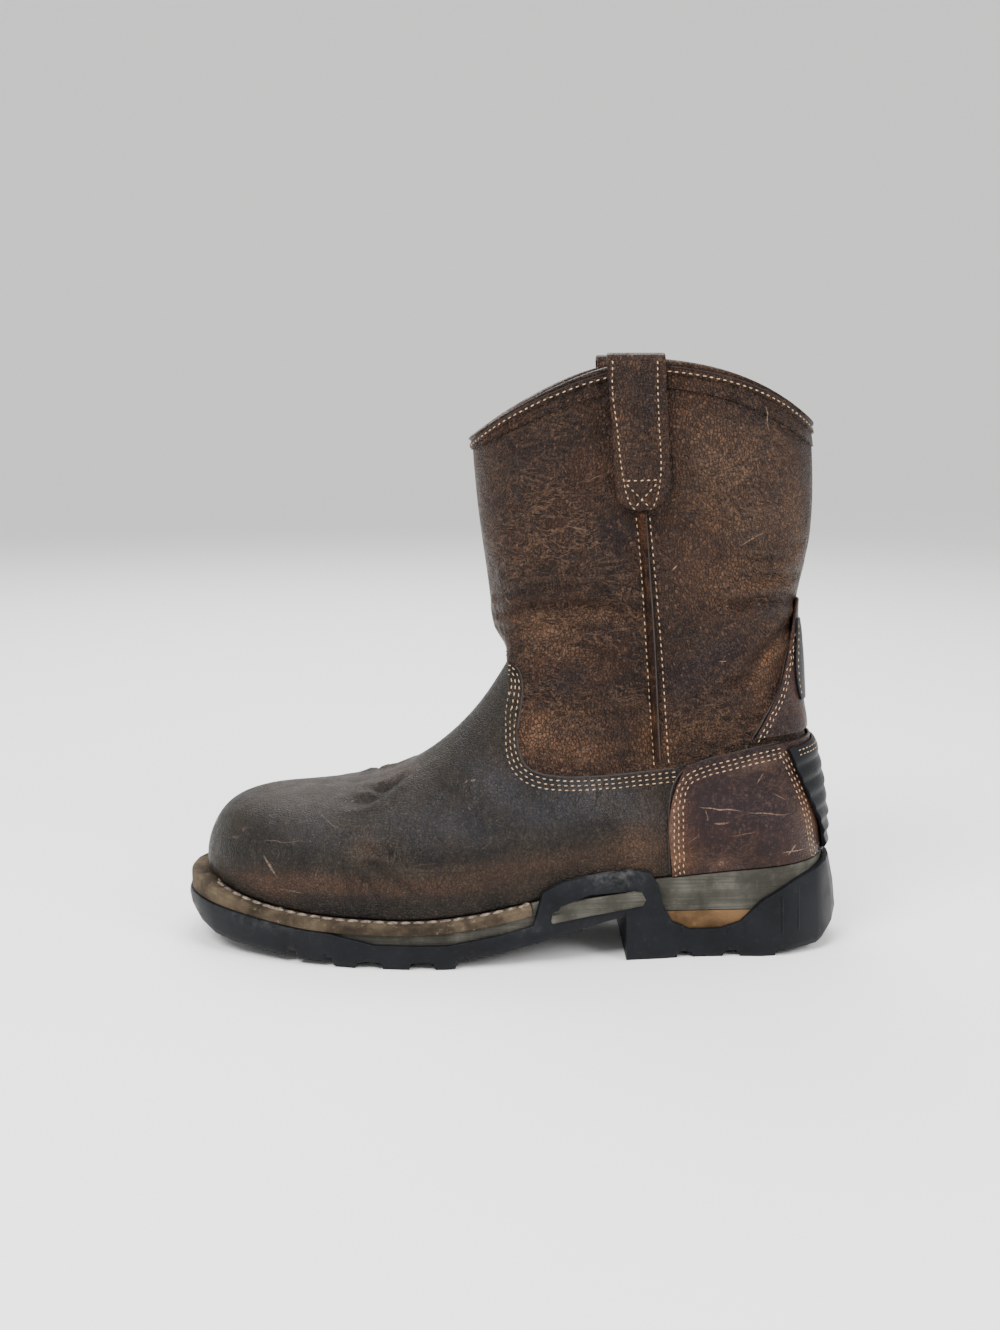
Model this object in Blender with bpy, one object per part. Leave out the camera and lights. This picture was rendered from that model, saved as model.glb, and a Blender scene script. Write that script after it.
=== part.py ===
"""Pull-on western work boot, left foot, standing empty on its sole.

The toe points along -X, the heel along +X, the outer side of the foot along -Y
and the shaft along +Z. The floor is z = 0 and the origin is under the middle of
the boot. All lengths are in metres.

Every piece of the boot is taken from one function, skin(), the outer face of
the vamp leather. It is made from five curves seen from the side (feather line,
seam, collar, front and back) and from the widths of foot and shaft.
"""
import math

import bmesh
import bpy
import numpy as np

# Sizes of the last and the shaft
LAST_LENGTH = 0.3025      # upper at the feather line, toe to heel
BALL_WIDTH = 0.1035       # upper across the ball of the foot
SHAFT_WIDTH = 0.0860      # shaft from side to side at the collar
HEEL_SEAT = 0.0440        # feather line above the floor, at the heel
ANKLE_RISE = 0.0960       # heel seat to the break at the ankle
SHAFT_RISE = 0.1400       # ankle break to the crest of the collar

# Leather
WALL = 0.0024             # shaft leather with its lining
LAP = 0.0012              # vamp leather lapped over the shaft
COUNTER_LEATHER = 0.0012
BACKSTAY_LEATHER = 0.0012
BINDING_LEATHER = 0.0011
BINDING_DEPTH = 0.0046    # binding down each face of the collar
PIPING_WIDTH = 0.0042
PIPING_HEIGHT = 0.0017
STRAP_WIDTH = 0.0205
STRAP_LEATHER = 0.0026
STRAP_CORNER = 0.0045     # cut off the corners of its lower end
STRAP_DROP = 0.0707       # loop's top to its lower end

# Sole
SOLE_LEDGE = 0.0050       # sole beyond the upper at the ball
TOE_LEDGE = 0.0092
HEEL_LEDGE = 0.0084
RUBBER_WALL = 0.0018
RUBBER_PROUD = 0.0010     # arch guard and heel cup beyond the sole's edge
WELT_INSET = 0.0008       # welt behind the sole's edge
WELT_TUCK = 0.0062        # welt under the upper
WELT_ROUND = 0.0010       # rounding of its top edge
WELT_FALL = 0.0006        # its top, lower at the edge than at the upper
INSOLE_THICKNESS = 0.0036
INSOLE_GAP = 0.0010
INSOLE_ROUND = 0.0008
GROOVE_DEPTH = 0.0030
EDGE_CHAMFER = 0.0012
GUARD_RUBBER = 0.0011     # thinnest place of the ribbed heel guard
GUARD_RIB = 0.0016
GUARD_RIBS = 7
TAB_RUBBER = 0.0018
SEAT = 0.0003             # clearance between pieces that touch
LAID = 0.0007             # clearance under leather laid over a curve

COLLECTION = "western_work_boot"
LATERAL = -1
MEDIAL = 1

# Curves seen from the side: station along the last, height.
# Stations run 0 at the toe to 1 at the heel. Heights of the feather line are
# shares of the heel seat. All others run 0 at the heel seat, 1 at the ankle
# break and 2 at the crest of the collar.
FEATHER = [
    # station, height
    (0.000, 0.775),
    (0.020, 0.725),
    (0.050, 0.662),
    (0.107, 0.582),
    (0.172, 0.530),
    (0.297, 0.496),
    (0.374, 0.502),
    (0.451, 0.566),
    (0.513, 0.645),
    (0.583, 0.745),
    (0.728, 0.866),
    (0.875, 0.957),
    (1.000, 1.005),
]
VAMP_SEAM = [
    (0.499, 1.010),
    (0.511, 0.975),
    (0.517, 0.900),
    (0.514, 0.800),
    (0.509, 0.675),
    (0.512, 0.583),
    (0.522, 0.522),
    (0.541, 0.489),
    (0.572, 0.470),
    (0.631, 0.467),
    (0.719, 0.487),
    (0.792, 0.530),
    (0.872, 0.590),
    (0.977, 0.616),
]
COLLAR = [
    (0.432, 1.741),
    (0.482, 1.815),
    (0.541, 1.886),
    (0.600, 1.949),
    (0.652, 1.984),
    (0.718, 1.999),
    (0.777, 1.987),
    (0.838, 1.952),
    (0.904, 1.888),
    (0.973, 1.791),
]
FRONT = [
    # row, station, height
    (0.10, -0.003, 0.000),
    (0.20, 0.012, 0.140),
    (0.30, 0.039, 0.245),
    (0.40, 0.088, 0.298),
    (0.52, 0.186, 0.319),
    (0.62, 0.267, 0.350),
    (0.71, 0.321, 0.403),
    (0.81, 0.393, 0.559),
    (0.91, 0.456, 0.767),
    (1.00, 0.499, 1.010),
    (1.09, 0.473, 1.075),
    (1.25, 0.462, 1.191),
    (1.40, 0.454, 1.314),
    (1.56, 0.446, 1.432),
    (1.76, 0.438, 1.571),
    (2.00, 0.432, 1.741),
]
BACK = [
    (0.20, 1.001, 0.115),
    (0.40, 0.999, 0.229),
    (0.60, 0.994, 0.354),
    (0.80, 0.986, 0.479),
    (1.00, 0.977, 0.616),
    (1.07, 0.976, 0.690),
    (1.15, 0.969, 0.780),
    (1.30, 0.966, 0.927),
    (1.40, 0.962, 1.050),
    (1.50, 0.954, 1.164),
    (1.61, 0.965, 1.271),
    (1.71, 0.977, 1.386),
    (1.81, 0.982, 1.500),
    (1.91, 0.979, 1.657),
    (2.00, 0.973, 1.791),
]

# Half widths of the foot: station, then lateral and medial shares of half the
# ball's width, then how far the middle line lies to the medial side.
FOOT_WIDTH = [
    (0.00, 0.940, 0.840, 0.140),
    (0.15, 0.990, 0.900, 0.105),
    (0.26, 1.020, 0.965, 0.060),
    (0.36, 1.030, 0.970, 0.015),
    (0.47, 0.950, 0.860, -0.020),
    (0.58, 0.820, 0.690, -0.030),
    (0.70, 0.710, 0.620, -0.020),
    (0.84, 0.655, 0.640, 0.000),
    (1.00, 0.650, 0.650, 0.000),
]
# Half width of the ankle and shaft: height, share of half the shaft's width.
LEG_WIDTH = [
    (0.20, 0.860),
    (0.60, 0.800),
    (1.00, 0.850),
    (1.25, 0.910),
    (1.60, 0.965),
    (2.00, 1.000),
]
# Rounding of the rows where they pass the front and the back: row, share of
# the row that turns at the front and at the back, and the power of each curve.
ROUNDING = [
    (0.00, 0.270, 0.125, 2.20, 2.15),
    (0.20, 0.250, 0.128, 2.20, 2.15),
    (0.35, 0.190, 0.130, 2.25, 2.15),
    (0.50, 0.165, 0.140, 2.30, 2.10),
    (0.65, 0.190, 0.160, 2.20, 2.10),
    (0.80, 0.260, 0.190, 2.10, 2.05),
    (1.00, 0.330, 0.230, 2.05, 2.05),
    (1.30, 0.430, 0.400, 2.05, 2.05),
    (1.60, 0.450, 0.450, 2.10, 2.10),
    (2.00, 0.450, 0.450, 2.10, 2.10),
]

# Heights of the sole by station of the last, all shares of the heel seat:
# foot of the welt, floor of the rubber tray and its running surface.
SOLE_HEIGHTS = [
    # station, welt, tray, ground
    (0.000, 0.565, 0.520, 0.455),
    (0.012, 0.562, 0.480, 0.330),
    (0.036, 0.535, 0.405, 0.205),
    (0.066, 0.500, 0.345, 0.145),
    (0.117, 0.450, 0.295, 0.112),
    (0.176, 0.398, 0.270, 0.062),
    (0.230, 0.378, 0.255, 0.020),
    (0.258, 0.372, 0.250, 0.000),
    (0.300, 0.370, 0.246, 0.000),
    (0.374, 0.384, 0.241, 0.000),
    (0.408, 0.405, 0.252, 0.000),
    (0.424, 0.418, 0.268, 0.040),
    (0.436, 0.430, 0.282, 0.118),
    (0.485, 0.485, 0.350, 0.160),
    (0.510, 0.525, 0.395, 0.205),
    (0.533, 0.560, 0.425, 0.245),
    (0.583, 0.600, 0.462, 0.335),
    (0.640, 0.600, 0.510, 0.440),
    (0.674, 0.600, 0.530, 0.492),
]
BREAST = 0.677            # front face of the heel block
TRAY_STEP = 0.700         # where the tray drops behind the arch
HEEL_TRAY = 0.305         # floor of the tray in the heel, share of the seat
HEEL_LAYER_TOP = 0.520    # top of the insert in the heel, share of the seat
HEEL_GROUND = [
    (0.679, 0.000),
    (0.925, 0.000),
    (0.935, 0.060),
    (0.972, 0.085),
    (0.988, 0.180),
    (1.000, 0.330),
]
# Top of the rubber wall: station, share of the heel seat. In front of the
# first row it runs under the welt.
RIM = [
    (0.219, 0.372),
    (0.290, 0.270),
    (0.400, 0.272),
    (0.485, 0.372),
    (0.531, 0.450),
    (0.536, 0.580),
    (0.546, 0.800),
    (0.576, 0.898),
    (0.638, 0.973),
    (0.685, 0.998),
    (0.716, 0.966),
    (0.729, 0.832),
    (0.736, 0.607),
    (0.752, 0.416),
    (0.780, 0.325),
    (0.828, 0.325),
    (0.860, 0.400),
    (0.892, 0.625),
    (0.940, 0.830),
    (0.978, 0.930),
    (1.000, 0.975),
]
WELT_END = 0.529          # station where the welt stops at the arch guard
# Edge of the sole and of the midsole's top beyond the upper, along the sides:
# station, then shares of the sole's ledge at the ball.
SIDE_LEDGE = [
    # station, sole, midsole top
    (0.00, 1.20, 1.10),
    (0.20, 1.08, 0.68),
    (0.36, 1.00, 0.60),
    (0.52, 0.92, 0.52),
    (0.56, 0.92, 0.16),
    (0.71, 0.90, 0.16),
    (0.76, 0.90, 0.40),
    (0.86, 0.90, 0.40),
    (1.00, 1.00, 0.40),
]
# Grooves across the tread: start and end at the edge, slant towards the toe on
# the way in, and share of the half width that they cross.
GROOVES = [
    (0.150, 0.170, 0.020, 0.55),
    (0.210, 0.226, 0.016, 0.52),
    (0.268, 0.290, 0.012, 0.50),
    (0.348, 0.376, 0.008, 0.50),
    (0.412, 0.430, -0.004, 0.52),
    (0.762, 0.779, 0.000, 0.48),
    (0.838, 0.858, 0.000, 0.48),
]
# Arch guard's window, seen from the side: station, share of the heel seat.
WINDOW = [
    (0.563, 0.500),
    (0.576, 0.655),
    (0.622, 0.760),
    (0.694, 0.780),
    (0.704, 0.690),
    (0.668, 0.600),
    (0.600, 0.500),
]
# Front edge of the counter and of the heel guard, and of the backstay and the
# tab above them: row, station.
COUNTER_EDGE = [(0.00, 0.752), (0.45, 0.745), (0.75, 0.746), (0.90, 0.752), (1.00, 0.770)]
COUNTER_FOOT = 0.012      # row of the counter's lower edge
GUARD_EDGE = [(0.00, 0.994), (0.30, 0.984), (0.60, 0.960), (1.00, 0.925)]
BACKSTAY_EDGE = [(1.00, 0.868), (1.10, 0.897), (1.22, 0.921), (1.36, 0.934), (1.54, 0.951)]
TAB_EDGE = [(1.16, 0.956), (1.24, 0.947), (1.38, 0.943), (1.47, 0.947)]
# Side seam: height, station.
SEAM_EDGE = [(0.45, 0.729), (1.18, 0.711), (1.60, 0.691), (2.00, 0.676)]
STRAP_STATION = 0.673     # middle of the strap at the collar
STRAP_FOOT_STATION = 0.690

LEATHER_VAMP = (0.048, 0.036, 0.028)
LEATHER_SHAFT = (0.085, 0.045, 0.026)
LEATHER_COUNTER = (0.070, 0.030, 0.022)
LEATHER_LINING = (0.16, 0.10, 0.07)
RUBBER_BLACK = (0.016, 0.018, 0.022)
MIDSOLE_TAUPE = (0.115, 0.105, 0.082)
WELT_TAN = (0.19, 0.13, 0.075)
INSERT_TAN = (0.30, 0.17, 0.07)


def smooth(table, column, at):
    """Read a column of a table at any place, on a smooth curve."""
    rows = np.array(table, float)
    x, y = rows[:, 0], rows[:, column]
    slope = np.gradient(y, x)
    at = np.clip(np.asarray(at, float), x[0], x[-1])
    i = np.clip(np.searchsorted(x, at) - 1, 0, len(x) - 2)
    h = x[i + 1] - x[i]
    t = (at - x[i]) / h
    return (
        (2 * t**3 - 3 * t**2 + 1) * y[i]
        + (t**3 - 2 * t**2 + t) * h * slope[i]
        + (3 * t**2 - 2 * t**3) * y[i + 1]
        + (t**3 - t**2) * h * slope[i + 1]
    )


def straight(table, column, at):
    """Read a column of a table at any place, with straight lines between rows."""
    rows = np.array(table, float)
    return np.interp(at, rows[:, 0], rows[:, column])


def station(share):
    return (np.asarray(share, float) - 0.5) * LAST_LENGTH


def share_of(x):
    return np.asarray(x, float) / LAST_LENGTH + 0.5


def level(share):
    share = np.asarray(share, float)
    return HEEL_SEAT + ANKLE_RISE * np.minimum(share, 1) + SHAFT_RISE * np.maximum(share - 1, 0)


def height_share(z):
    above = np.asarray(z, float) - HEEL_SEAT
    return np.minimum(above, ANKLE_RISE) / ANKLE_RISE + np.maximum(above - ANKLE_RISE, 0) / SHAFT_RISE


def blend(value):
    t = np.clip(value, 0, 1)
    return t * t * (3 - 2 * t)


def feather_height(share):
    return HEEL_SEAT * smooth(FEATHER, 1, share)


def seat_height(x):
    """Where the upper sits on welt and midsole."""
    return feather_height(share_of(x))


def curve(points, at):
    """Points on a smooth curve through the given ones, by share of its length."""
    points = np.array(points, float)
    steps = np.linalg.norm(np.diff(points, axis=0), axis=1)
    along = np.concatenate([[0], np.cumsum(steps)]) / steps.sum()
    return np.stack([smooth(np.c_[along, points], k, at) for k in (1, 2)], axis=-1)


def side_curve(table, at):
    points = [(float(station(s)), float(level(h))) for s, h in table]
    return curve(points, at)


def feather_curve(at):
    stations = np.array([row[0] for row in FEATHER])
    return curve(np.c_[station(stations), feather_height(stations)], at)


def edge_point(table, end, row):
    """Front or back of the boot at a row; it starts at the feather line's end."""
    start = feather_curve(np.array([end]))[0]
    rows = [(0.0, start[0], start[1])]
    rows += [(r, float(station(s)), float(level(h))) for r, s, h in table]
    return np.stack([smooth(rows, k, row) for k in (1, 2)], axis=-1)


def side_path(row, samples=160):
    """One row of the upper from front to back, seen from the side.

    Rows 0 to 1 lie between feather line and vamp seam, rows 1 to 2 between
    seam and collar, each blended from the four curves around it.
    """
    t = np.linspace(0, 1, samples)
    if row <= 1:
        low, high, base = feather_curve(t), side_curve(VAMP_SEAM, t), 0.0
    else:
        low, high, base = side_curve(VAMP_SEAM, t), side_curve(COLLAR, t), 1.0
    v = row - base
    front, back = edge_point(FRONT, 0, row), edge_point(BACK, 1, row)
    t = t[:, None]
    corners = (1 - v) * ((1 - t) * low[0] + t * low[-1]) + v * ((1 - t) * high[0] + t * high[-1])
    return (1 - v) * low + v * high + (1 - t) * front + t * back - corners


PATHS = {}


def row_path(row):
    """Cached row: points from the side, and how far along it each one lies."""
    key = round(float(row), 5)
    if key not in PATHS:
        path = side_path(key)
        steps = np.linalg.norm(np.diff(path, axis=0), axis=1)
        PATHS[key] = path, np.concatenate([[0], np.cumsum(steps)])
    return PATHS[key]


def half_width(side, x, z):
    """Widest half of foot and leg at a place seen from the side."""
    column = 1 if side == LATERAL else 2
    share, height = share_of(x), height_share(z)
    foot = smooth(FOOT_WIDTH, column, share) * BALL_WIDTH / 2
    leg = smooth(LEG_WIDTH, 1, height) * SHAFT_WIDTH / 2
    low_arch = 0.05 * BALL_WIDTH * blend((height + 0.15) / 0.5) * blend((share - 0.42) / 0.12)
    low_arch = low_arch * blend((0.78 - share) / 0.12)
    if side == MEDIAL:
        foot = foot + low_arch
    return foot + (leg - foot) * blend((height - 0.05) / 0.95)


def middle(x, z):
    """How far the boot's middle line lies to the medial side."""
    lean = smooth(FOOT_WIDTH, 3, share_of(x)) * BALL_WIDTH / 2
    return lean * (1 - 0.8 * blend((height_share(z) - 0.3) / 0.7))


def base_skin(side, column, row):
    """Vamp's outer face. Columns run 0 to 1 round the front, 1 to 2 along the
    side and 2 to 3 round the back."""
    path, along = row_path(row)
    length = along[-1]
    toe, heel = (smooth(ROUNDING, k, row) * length for k in (1, 2))
    toe_power, heel_power = (smooth(ROUNDING, k, row) for k in (3, 4))
    c = np.asarray(column, float)
    front_turn, back_turn = np.minimum(c, 1) * math.pi / 2, np.minimum(3 - c, 1) * math.pi / 2
    reach = np.where(
        c < 1,
        toe * (1 - np.cos(front_turn)),
        np.where(
            c > 2,
            length - heel * (1 - np.cos(back_turn)),
            toe + (c - 1) * (length - toe - heel),
        ),
    )
    x = np.interp(reach, along, path[:, 0])
    z = np.interp(reach, along, path[:, 1])
    front_round = np.maximum(1 - np.maximum(np.cos(front_turn), 0) ** toe_power, 0) ** (1 / toe_power)
    back_round = np.maximum(1 - np.maximum(np.cos(back_turn), 0) ** heel_power, 0) ** (1 / heel_power)
    y = middle(x, z) + side * half_width(side, x, z) * front_round * back_round
    return np.stack([x, y, z], axis=-1)


def skin(side, column, row, out=0.0):
    """A point on the upper, moved out by a distance square to its surface."""
    column = np.asarray(column, float)
    point = base_skin(side, column, row)
    if not np.any(out):
        return point
    dc, dr = 0.02, 0.01
    before, after = np.maximum(column - dc, 0), np.minimum(column + dc, 3)
    along = base_skin(side, after, row) - base_skin(side, before, row)
    lower = row - dr if row == 1 or row >= dr and not 1 < row < 1 + dr else row
    upper = row + dr if row < 2 - dr and not 1 - dr < row <= 1 else row
    up = base_skin(side, column, upper) - base_skin(side, column, lower)
    normal = np.cross(along, up) * -side
    ends = (column <= 0) | (column >= 3)
    normal[..., 1] = np.where(ends, 0, normal[..., 1])
    normal = normal / np.maximum(np.linalg.norm(normal, axis=-1, keepdims=True), 1e-12)
    return point + normal * np.asarray(out)[..., None]


def column_at(side, row, x):
    """Column where a row passes a given place along the boot's side."""
    columns = np.linspace(0.6, 3, 500)
    return float(np.interp(x, base_skin(side, columns, row)[:, 0], columns))


def row_at(side, height, share):
    """Row of the shaft that passes a station at a height."""
    rows = np.linspace(1, 2, 41)
    x = float(station(share))
    heights = [base_skin(side, np.array([column_at(side, r, x)]), r)[0, 2] for r in rows]
    return float(np.interp(float(level(height)), heights, rows))


def round_trip(lateral, medial):
    """One closed line of points from both sides, toe to heel and back."""
    return np.concatenate([lateral, medial[-2:0:-1]])


def side_columns(front, along, back):
    return np.concatenate(
        [
            np.linspace(0, 1, front, endpoint=False),
            np.linspace(1, 2, along, endpoint=False),
            np.linspace(2, 3, back + 1),
        ]
    )


MATERIALS = {}


def material(name, colour, roughness):
    if name not in MATERIALS:
        new = bpy.data.materials.new(name)
        new.use_nodes = True
        shader = new.node_tree.nodes["Principled BSDF"]
        shader.inputs["Base Color"].default_value = (*colour, 1)
        shader.inputs["Roughness"].default_value = roughness
        shader.inputs["Metallic"].default_value = 0
        MATERIALS[name] = new
    return MATERIALS[name]


def add_piece(name, points, faces, finish, hidden=False):
    """One closed mesh object, its faces turned outwards."""
    mesh = bpy.data.meshes.new(name)
    mesh.from_pydata([tuple(map(float, p)) for p in points], [], faces)
    work = bmesh.new()
    work.from_mesh(mesh)
    bmesh.ops.remove_doubles(work, verts=work.verts, dist=1e-6)
    bmesh.ops.dissolve_degenerate(work, dist=1e-7, edges=work.edges)
    bmesh.ops.recalc_face_normals(work, faces=work.faces)
    if work.calc_volume(signed=True) < 0:
        bmesh.ops.reverse_faces(work, faces=work.faces)
    work.to_mesh(mesh)
    work.free()
    mesh.shade_smooth()
    mesh.set_sharp_from_angle(angle=math.radians(35))
    piece = bpy.data.objects.new(name, mesh)
    home = bpy.data.collections["cutters" if hidden else COLLECTION]
    home.objects.link(piece)
    if hidden:
        piece.hide_render = True
        piece.display_type = "WIRE"
    else:
        mesh.materials.append(finish)
    return piece


def grid_faces(rows, columns, wrap_rows, wrap_columns):
    """Quads between neighbours of a grid of points, stored row by row."""
    faces = []
    for i in range(rows if wrap_rows else rows - 1):
        for j in range(columns if wrap_columns else columns - 1):
            i2, j2 = (i + 1) % rows, (j + 1) % columns
            faces.append((i * columns + j, i * columns + j2, i2 * columns + j2, i2 * columns + j))
    return faces


def ring_piece(name, sections, finish):
    """A closed section carried round a closed line."""
    sections = np.array(sections)
    count, size = sections.shape[:2]
    return add_piece(name, sections.reshape(-1, 3), grid_faces(count, size, True, True), finish)


def strip_piece(name, sections, finish):
    """A closed section carried along an open line, with flat ends."""
    sections = np.array(sections)
    count, size = sections.shape[:2]
    faces = grid_faces(count, size, False, True)
    faces.append(tuple(range(size)))
    faces.append(tuple((count - 1) * size + k for k in reversed(range(size))))
    return add_piece(name, sections.reshape(-1, 3), faces, finish)


def sheet_piece(name, inner, outer, finish):
    """A sheet of leather or rubber between an inner and an outer grid."""
    inner, outer = np.array(inner), np.array(outer)
    rows, columns = inner.shape[:2]
    offset = rows * columns
    faces = [tuple(reversed(f)) for f in grid_faces(rows, columns, False, False)]
    faces += [tuple(offset + k for k in f) for f in grid_faces(rows, columns, False, False)]
    border = [j for j in range(columns)]
    border += [i * columns + columns - 1 for i in range(1, rows)]
    border += [(rows - 1) * columns + j for j in range(columns - 2, -1, -1)]
    border += [i * columns for i in range(rows - 2, 0, -1)]
    for a, b in zip(border, border[1:] + border[:1]):
        faces.append((a, b, offset + b, offset + a))
    points = np.concatenate([inner.reshape(-1, 3), outer.reshape(-1, 3)])
    return add_piece(name, points, faces, finish)


COLUMNS = side_columns(7, 8, 7)
FOOT_ROWS = [0, 0.06, 0.14, 0.23, 0.32, 0.42, 0.54, 0.66, 0.78, 0.90, 1.0]
SHAFT_ROWS = [1.003, 1.03, 1.08, 1.16, 1.27, 1.38, 1.47, 1.54, 1.63, 1.74, 1.87, 2.0]
INSIDE_ROWS = [0, 0.14, 0.32, 0.54, 0.78, 1.0, 1.08, 1.27, 1.47, 1.63, 1.87, 2.0]


def rows_between(first, last):
    """Rows of the upper's own grid between two others, and those two."""
    inside = [r for r in FOOT_ROWS + SHAFT_ROWS if first + 0.006 < r < last - 0.006]
    return [first] + inside + [last]


def make_upper():
    """Wall of the boot. The seam's row comes twice, for the step of the lapped vamp."""
    outside = [(row, 0.0 if row <= 1 else -LAP) for row in FOOT_ROWS + SHAFT_ROWS]
    inside = [(row, -LAP - WALL) for row in reversed(INSIDE_ROWS)]
    loops = []
    for row, out in outside + inside:
        points = round_trip(*(skin(s, COLUMNS, row, out) for s in (LATERAL, MEDIAL)))
        if row == 0:
            points[:, 2] = seat_height(points[:, 0]) + SEAT
        loops.append(points)
    sections = np.array(loops).transpose(1, 0, 2)
    ring_piece("upper", sections, material("vamp leather", LEATHER_VAMP, 0.62))


def patch(name, sides, rows, columns_of, inner, outer, finish):
    """A sheet laid on the upper. columns_of gives the columns of one row."""
    below, above = [], []
    for row in rows:
        for face, move in ((below, inner), (above, outer)):
            parts = [skin(s, columns_of(s, row), row, move(row)) for s in sides]
            if len(parts) == 2:
                parts = [parts[0], parts[1][-2::-1]]
            face.append(np.concatenate(parts))
    return sheet_piece(name, below, above, finish)


def from_edge(table, steps):
    """Columns from an edge given by row and station to the middle of the back."""

    def columns(side, row):
        first = column_at(side, row, float(station(smooth(table, 1, row))))
        return np.linspace(first, 3, steps + 1)

    return columns


def make_counter():
    rows = rows_between(COUNTER_FOOT, 1.0)
    patch(
        "heel_counter",
        (LATERAL, MEDIAL),
        rows,
        from_edge(COUNTER_EDGE, 9),
        lambda row: LAID,
        lambda row: LAID + COUNTER_LEATHER,
        material("counter leather", LEATHER_COUNTER, 0.58),
    )


def make_heel_guard():
    first, last = 0.07, 0.97
    base = 2 * LAID + COUNTER_LEATHER
    rows, heights = [], []
    step = (last - first) / GUARD_RIBS
    for rib in range(GUARD_RIBS):
        for share, rise in ((0.0, 0.35), (0.30, 1.0), (0.92, 0.25)):
            rows.append(first + (rib + share) * step)
            heights.append(GUARD_RUBBER + rise * GUARD_RIB)
    rows.append(last)
    heights.append(GUARD_RUBBER)
    patch(
        "heel_guard",
        (LATERAL, MEDIAL),
        rows,
        from_edge(GUARD_EDGE, 4),
        lambda row: base,
        lambda row: base + heights[rows.index(row)],
        material("black rubber", RUBBER_BLACK, 0.55),
    )


def make_backstay():
    rows = rows_between(1.03, 1.54)
    patch(
        "backstay",
        (LATERAL, MEDIAL),
        rows,
        from_edge(BACKSTAY_EDGE, 8),
        lambda row: LAID - LAP,
        lambda row: LAID - LAP + BACKSTAY_LEATHER,
        material("shaft leather", LEATHER_SHAFT, 0.6),
    )


def make_back_tab():
    base = 2 * LAID - LAP + BACKSTAY_LEATHER
    patch(
        "back_tab",
        (LATERAL, MEDIAL),
        rows_between(1.16, 1.47),
        from_edge(TAB_EDGE, 4),
        lambda row: base,
        lambda row: base + TAB_RUBBER,
        material("black rubber", RUBBER_BLACK, 0.55),
    )


def make_side_seam(side, name):
    """Raised piping over the seam between front and back of the shaft."""
    start, stop = 1.03, row_at(side, 1.86, STRAP_STATION)
    sections = []
    for row in np.linspace(start, stop, 12):
        x0 = float(station(0.72))
        z = base_skin(side, np.array([column_at(side, row, x0)]), row)[0, 2]
        middle_x = float(station(smooth(SEAM_EDGE, 1, height_share(z))))
        ends = [column_at(side, row, middle_x + PIPING_WIDTH * k) for k in (-0.5, -0.25, 0.25, 0.5)]
        low, high = SEAT - LAP, SEAT - LAP + PIPING_HEIGHT
        heights = [low + 0.3 * PIPING_HEIGHT, high, high, low + 0.3 * PIPING_HEIGHT]
        top = [skin(side, np.array([c]), row, h)[0] for c, h in zip(ends, heights)]
        under = [skin(side, np.array([c]), row, low)[0] for c in (ends[-1], ends[0])]
        sections.append(top + under)
    strip_piece(name, sections, material("shaft leather", LEATHER_SHAFT, 0.6))


def make_binding():
    """Leather folded over the collar's raw edge."""
    foot = 2 - BINDING_DEPTH / SHAFT_RISE / 0.62
    outside, inside = -LAP, -LAP - WALL
    profile = [
        # row, distance out, height above the collar's edge
        (foot, outside + SEAT, 0.0),
        (foot, outside + SEAT + BINDING_LEATHER, 0.0),
        (2.0, outside + SEAT + BINDING_LEATHER, 0.0),
        (2.0, outside + 0.5 * SEAT, SEAT + BINDING_LEATHER),
        (2.0, inside - 0.5 * SEAT, SEAT + BINDING_LEATHER),
        (2.0, inside - SEAT - BINDING_LEATHER, 0.0),
        (foot, inside - SEAT - BINDING_LEATHER, 0.0),
        (foot, inside - SEAT, 0.0),
        (2.0, inside - SEAT, SEAT),
        (2.0, outside + SEAT, SEAT),
    ]
    loops = []
    for row, out, rise in profile:
        loop = round_trip(*(skin(s, COLUMNS, row, out) for s in (LATERAL, MEDIAL)))
        loop[:, 2] += rise
        loops.append(loop)
    sections = np.array(loops).transpose(1, 0, 2)
    ring_piece("collar_binding", sections, material("binding leather", LEATHER_SHAFT, 0.6))


def strap_points(side, across, drop, out):
    """Both faces of a strap's leg, a given way below the collar's crest."""
    top_x = float(station(STRAP_STATION)) + across * STRAP_WIDTH
    foot_x = float(station(STRAP_FOOT_STATION)) + across * STRAP_WIDTH * 0.92
    x = foot_x + (top_x - foot_x) * (1 - drop / STRAP_DROP)
    z = float(level(2.0)) - drop
    row = row_at(side, float(height_share(z)), float(share_of(x)))
    column = np.array([column_at(side, row, x)])
    faces = [skin(side, column, row, move)[0] for move in (out, out + STRAP_LEATHER)]
    for face in faces:
        face[2] = z
    return faces


def make_pull_strap(side, name):
    """A loop of leather sewn outside and inside the shaft, over the collar."""
    outside = 2 * SEAT + PIPING_HEIGHT - LAP
    inside = -LAP - WALL - 2 * SEAT - BINDING_LEATHER - STRAP_LEATHER
    arch = BINDING_LEATHER + 2 * SEAT
    lines = []
    for across in np.linspace(-0.5, 0.5, 5):
        corner = STRAP_CORNER * blend((abs(across) - 0.2) / 0.3)
        drops = np.linspace(STRAP_DROP - arch - STRAP_LEATHER - corner, 0, 6)
        outer = [strap_points(side, across, drop, outside) for drop in drops]
        inner = [strap_points(side, across, drop, inside)[::-1] for drop in drops[::-1]]
        over = []
        for angle in (0.25 * math.pi, 0.5 * math.pi, 0.75 * math.pi):
            pair = []
            for face, lift in ((0, arch), (1, arch + STRAP_LEATHER)):
                centre, half = (outer[-1][face] + inner[0][face]) / 2, (outer[-1][face] - inner[0][face]) / 2
                pair.append(centre + half * math.cos(angle) + np.array([0, 0, lift * math.sin(angle)]))
            over.append(pair)
        lines.append(outer + over + inner)
    lines = np.array(lines)
    sheet_piece(name, lines[:, :, 0], lines[:, :, 1], material("shaft leather", LEATHER_SHAFT, 0.6))


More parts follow.
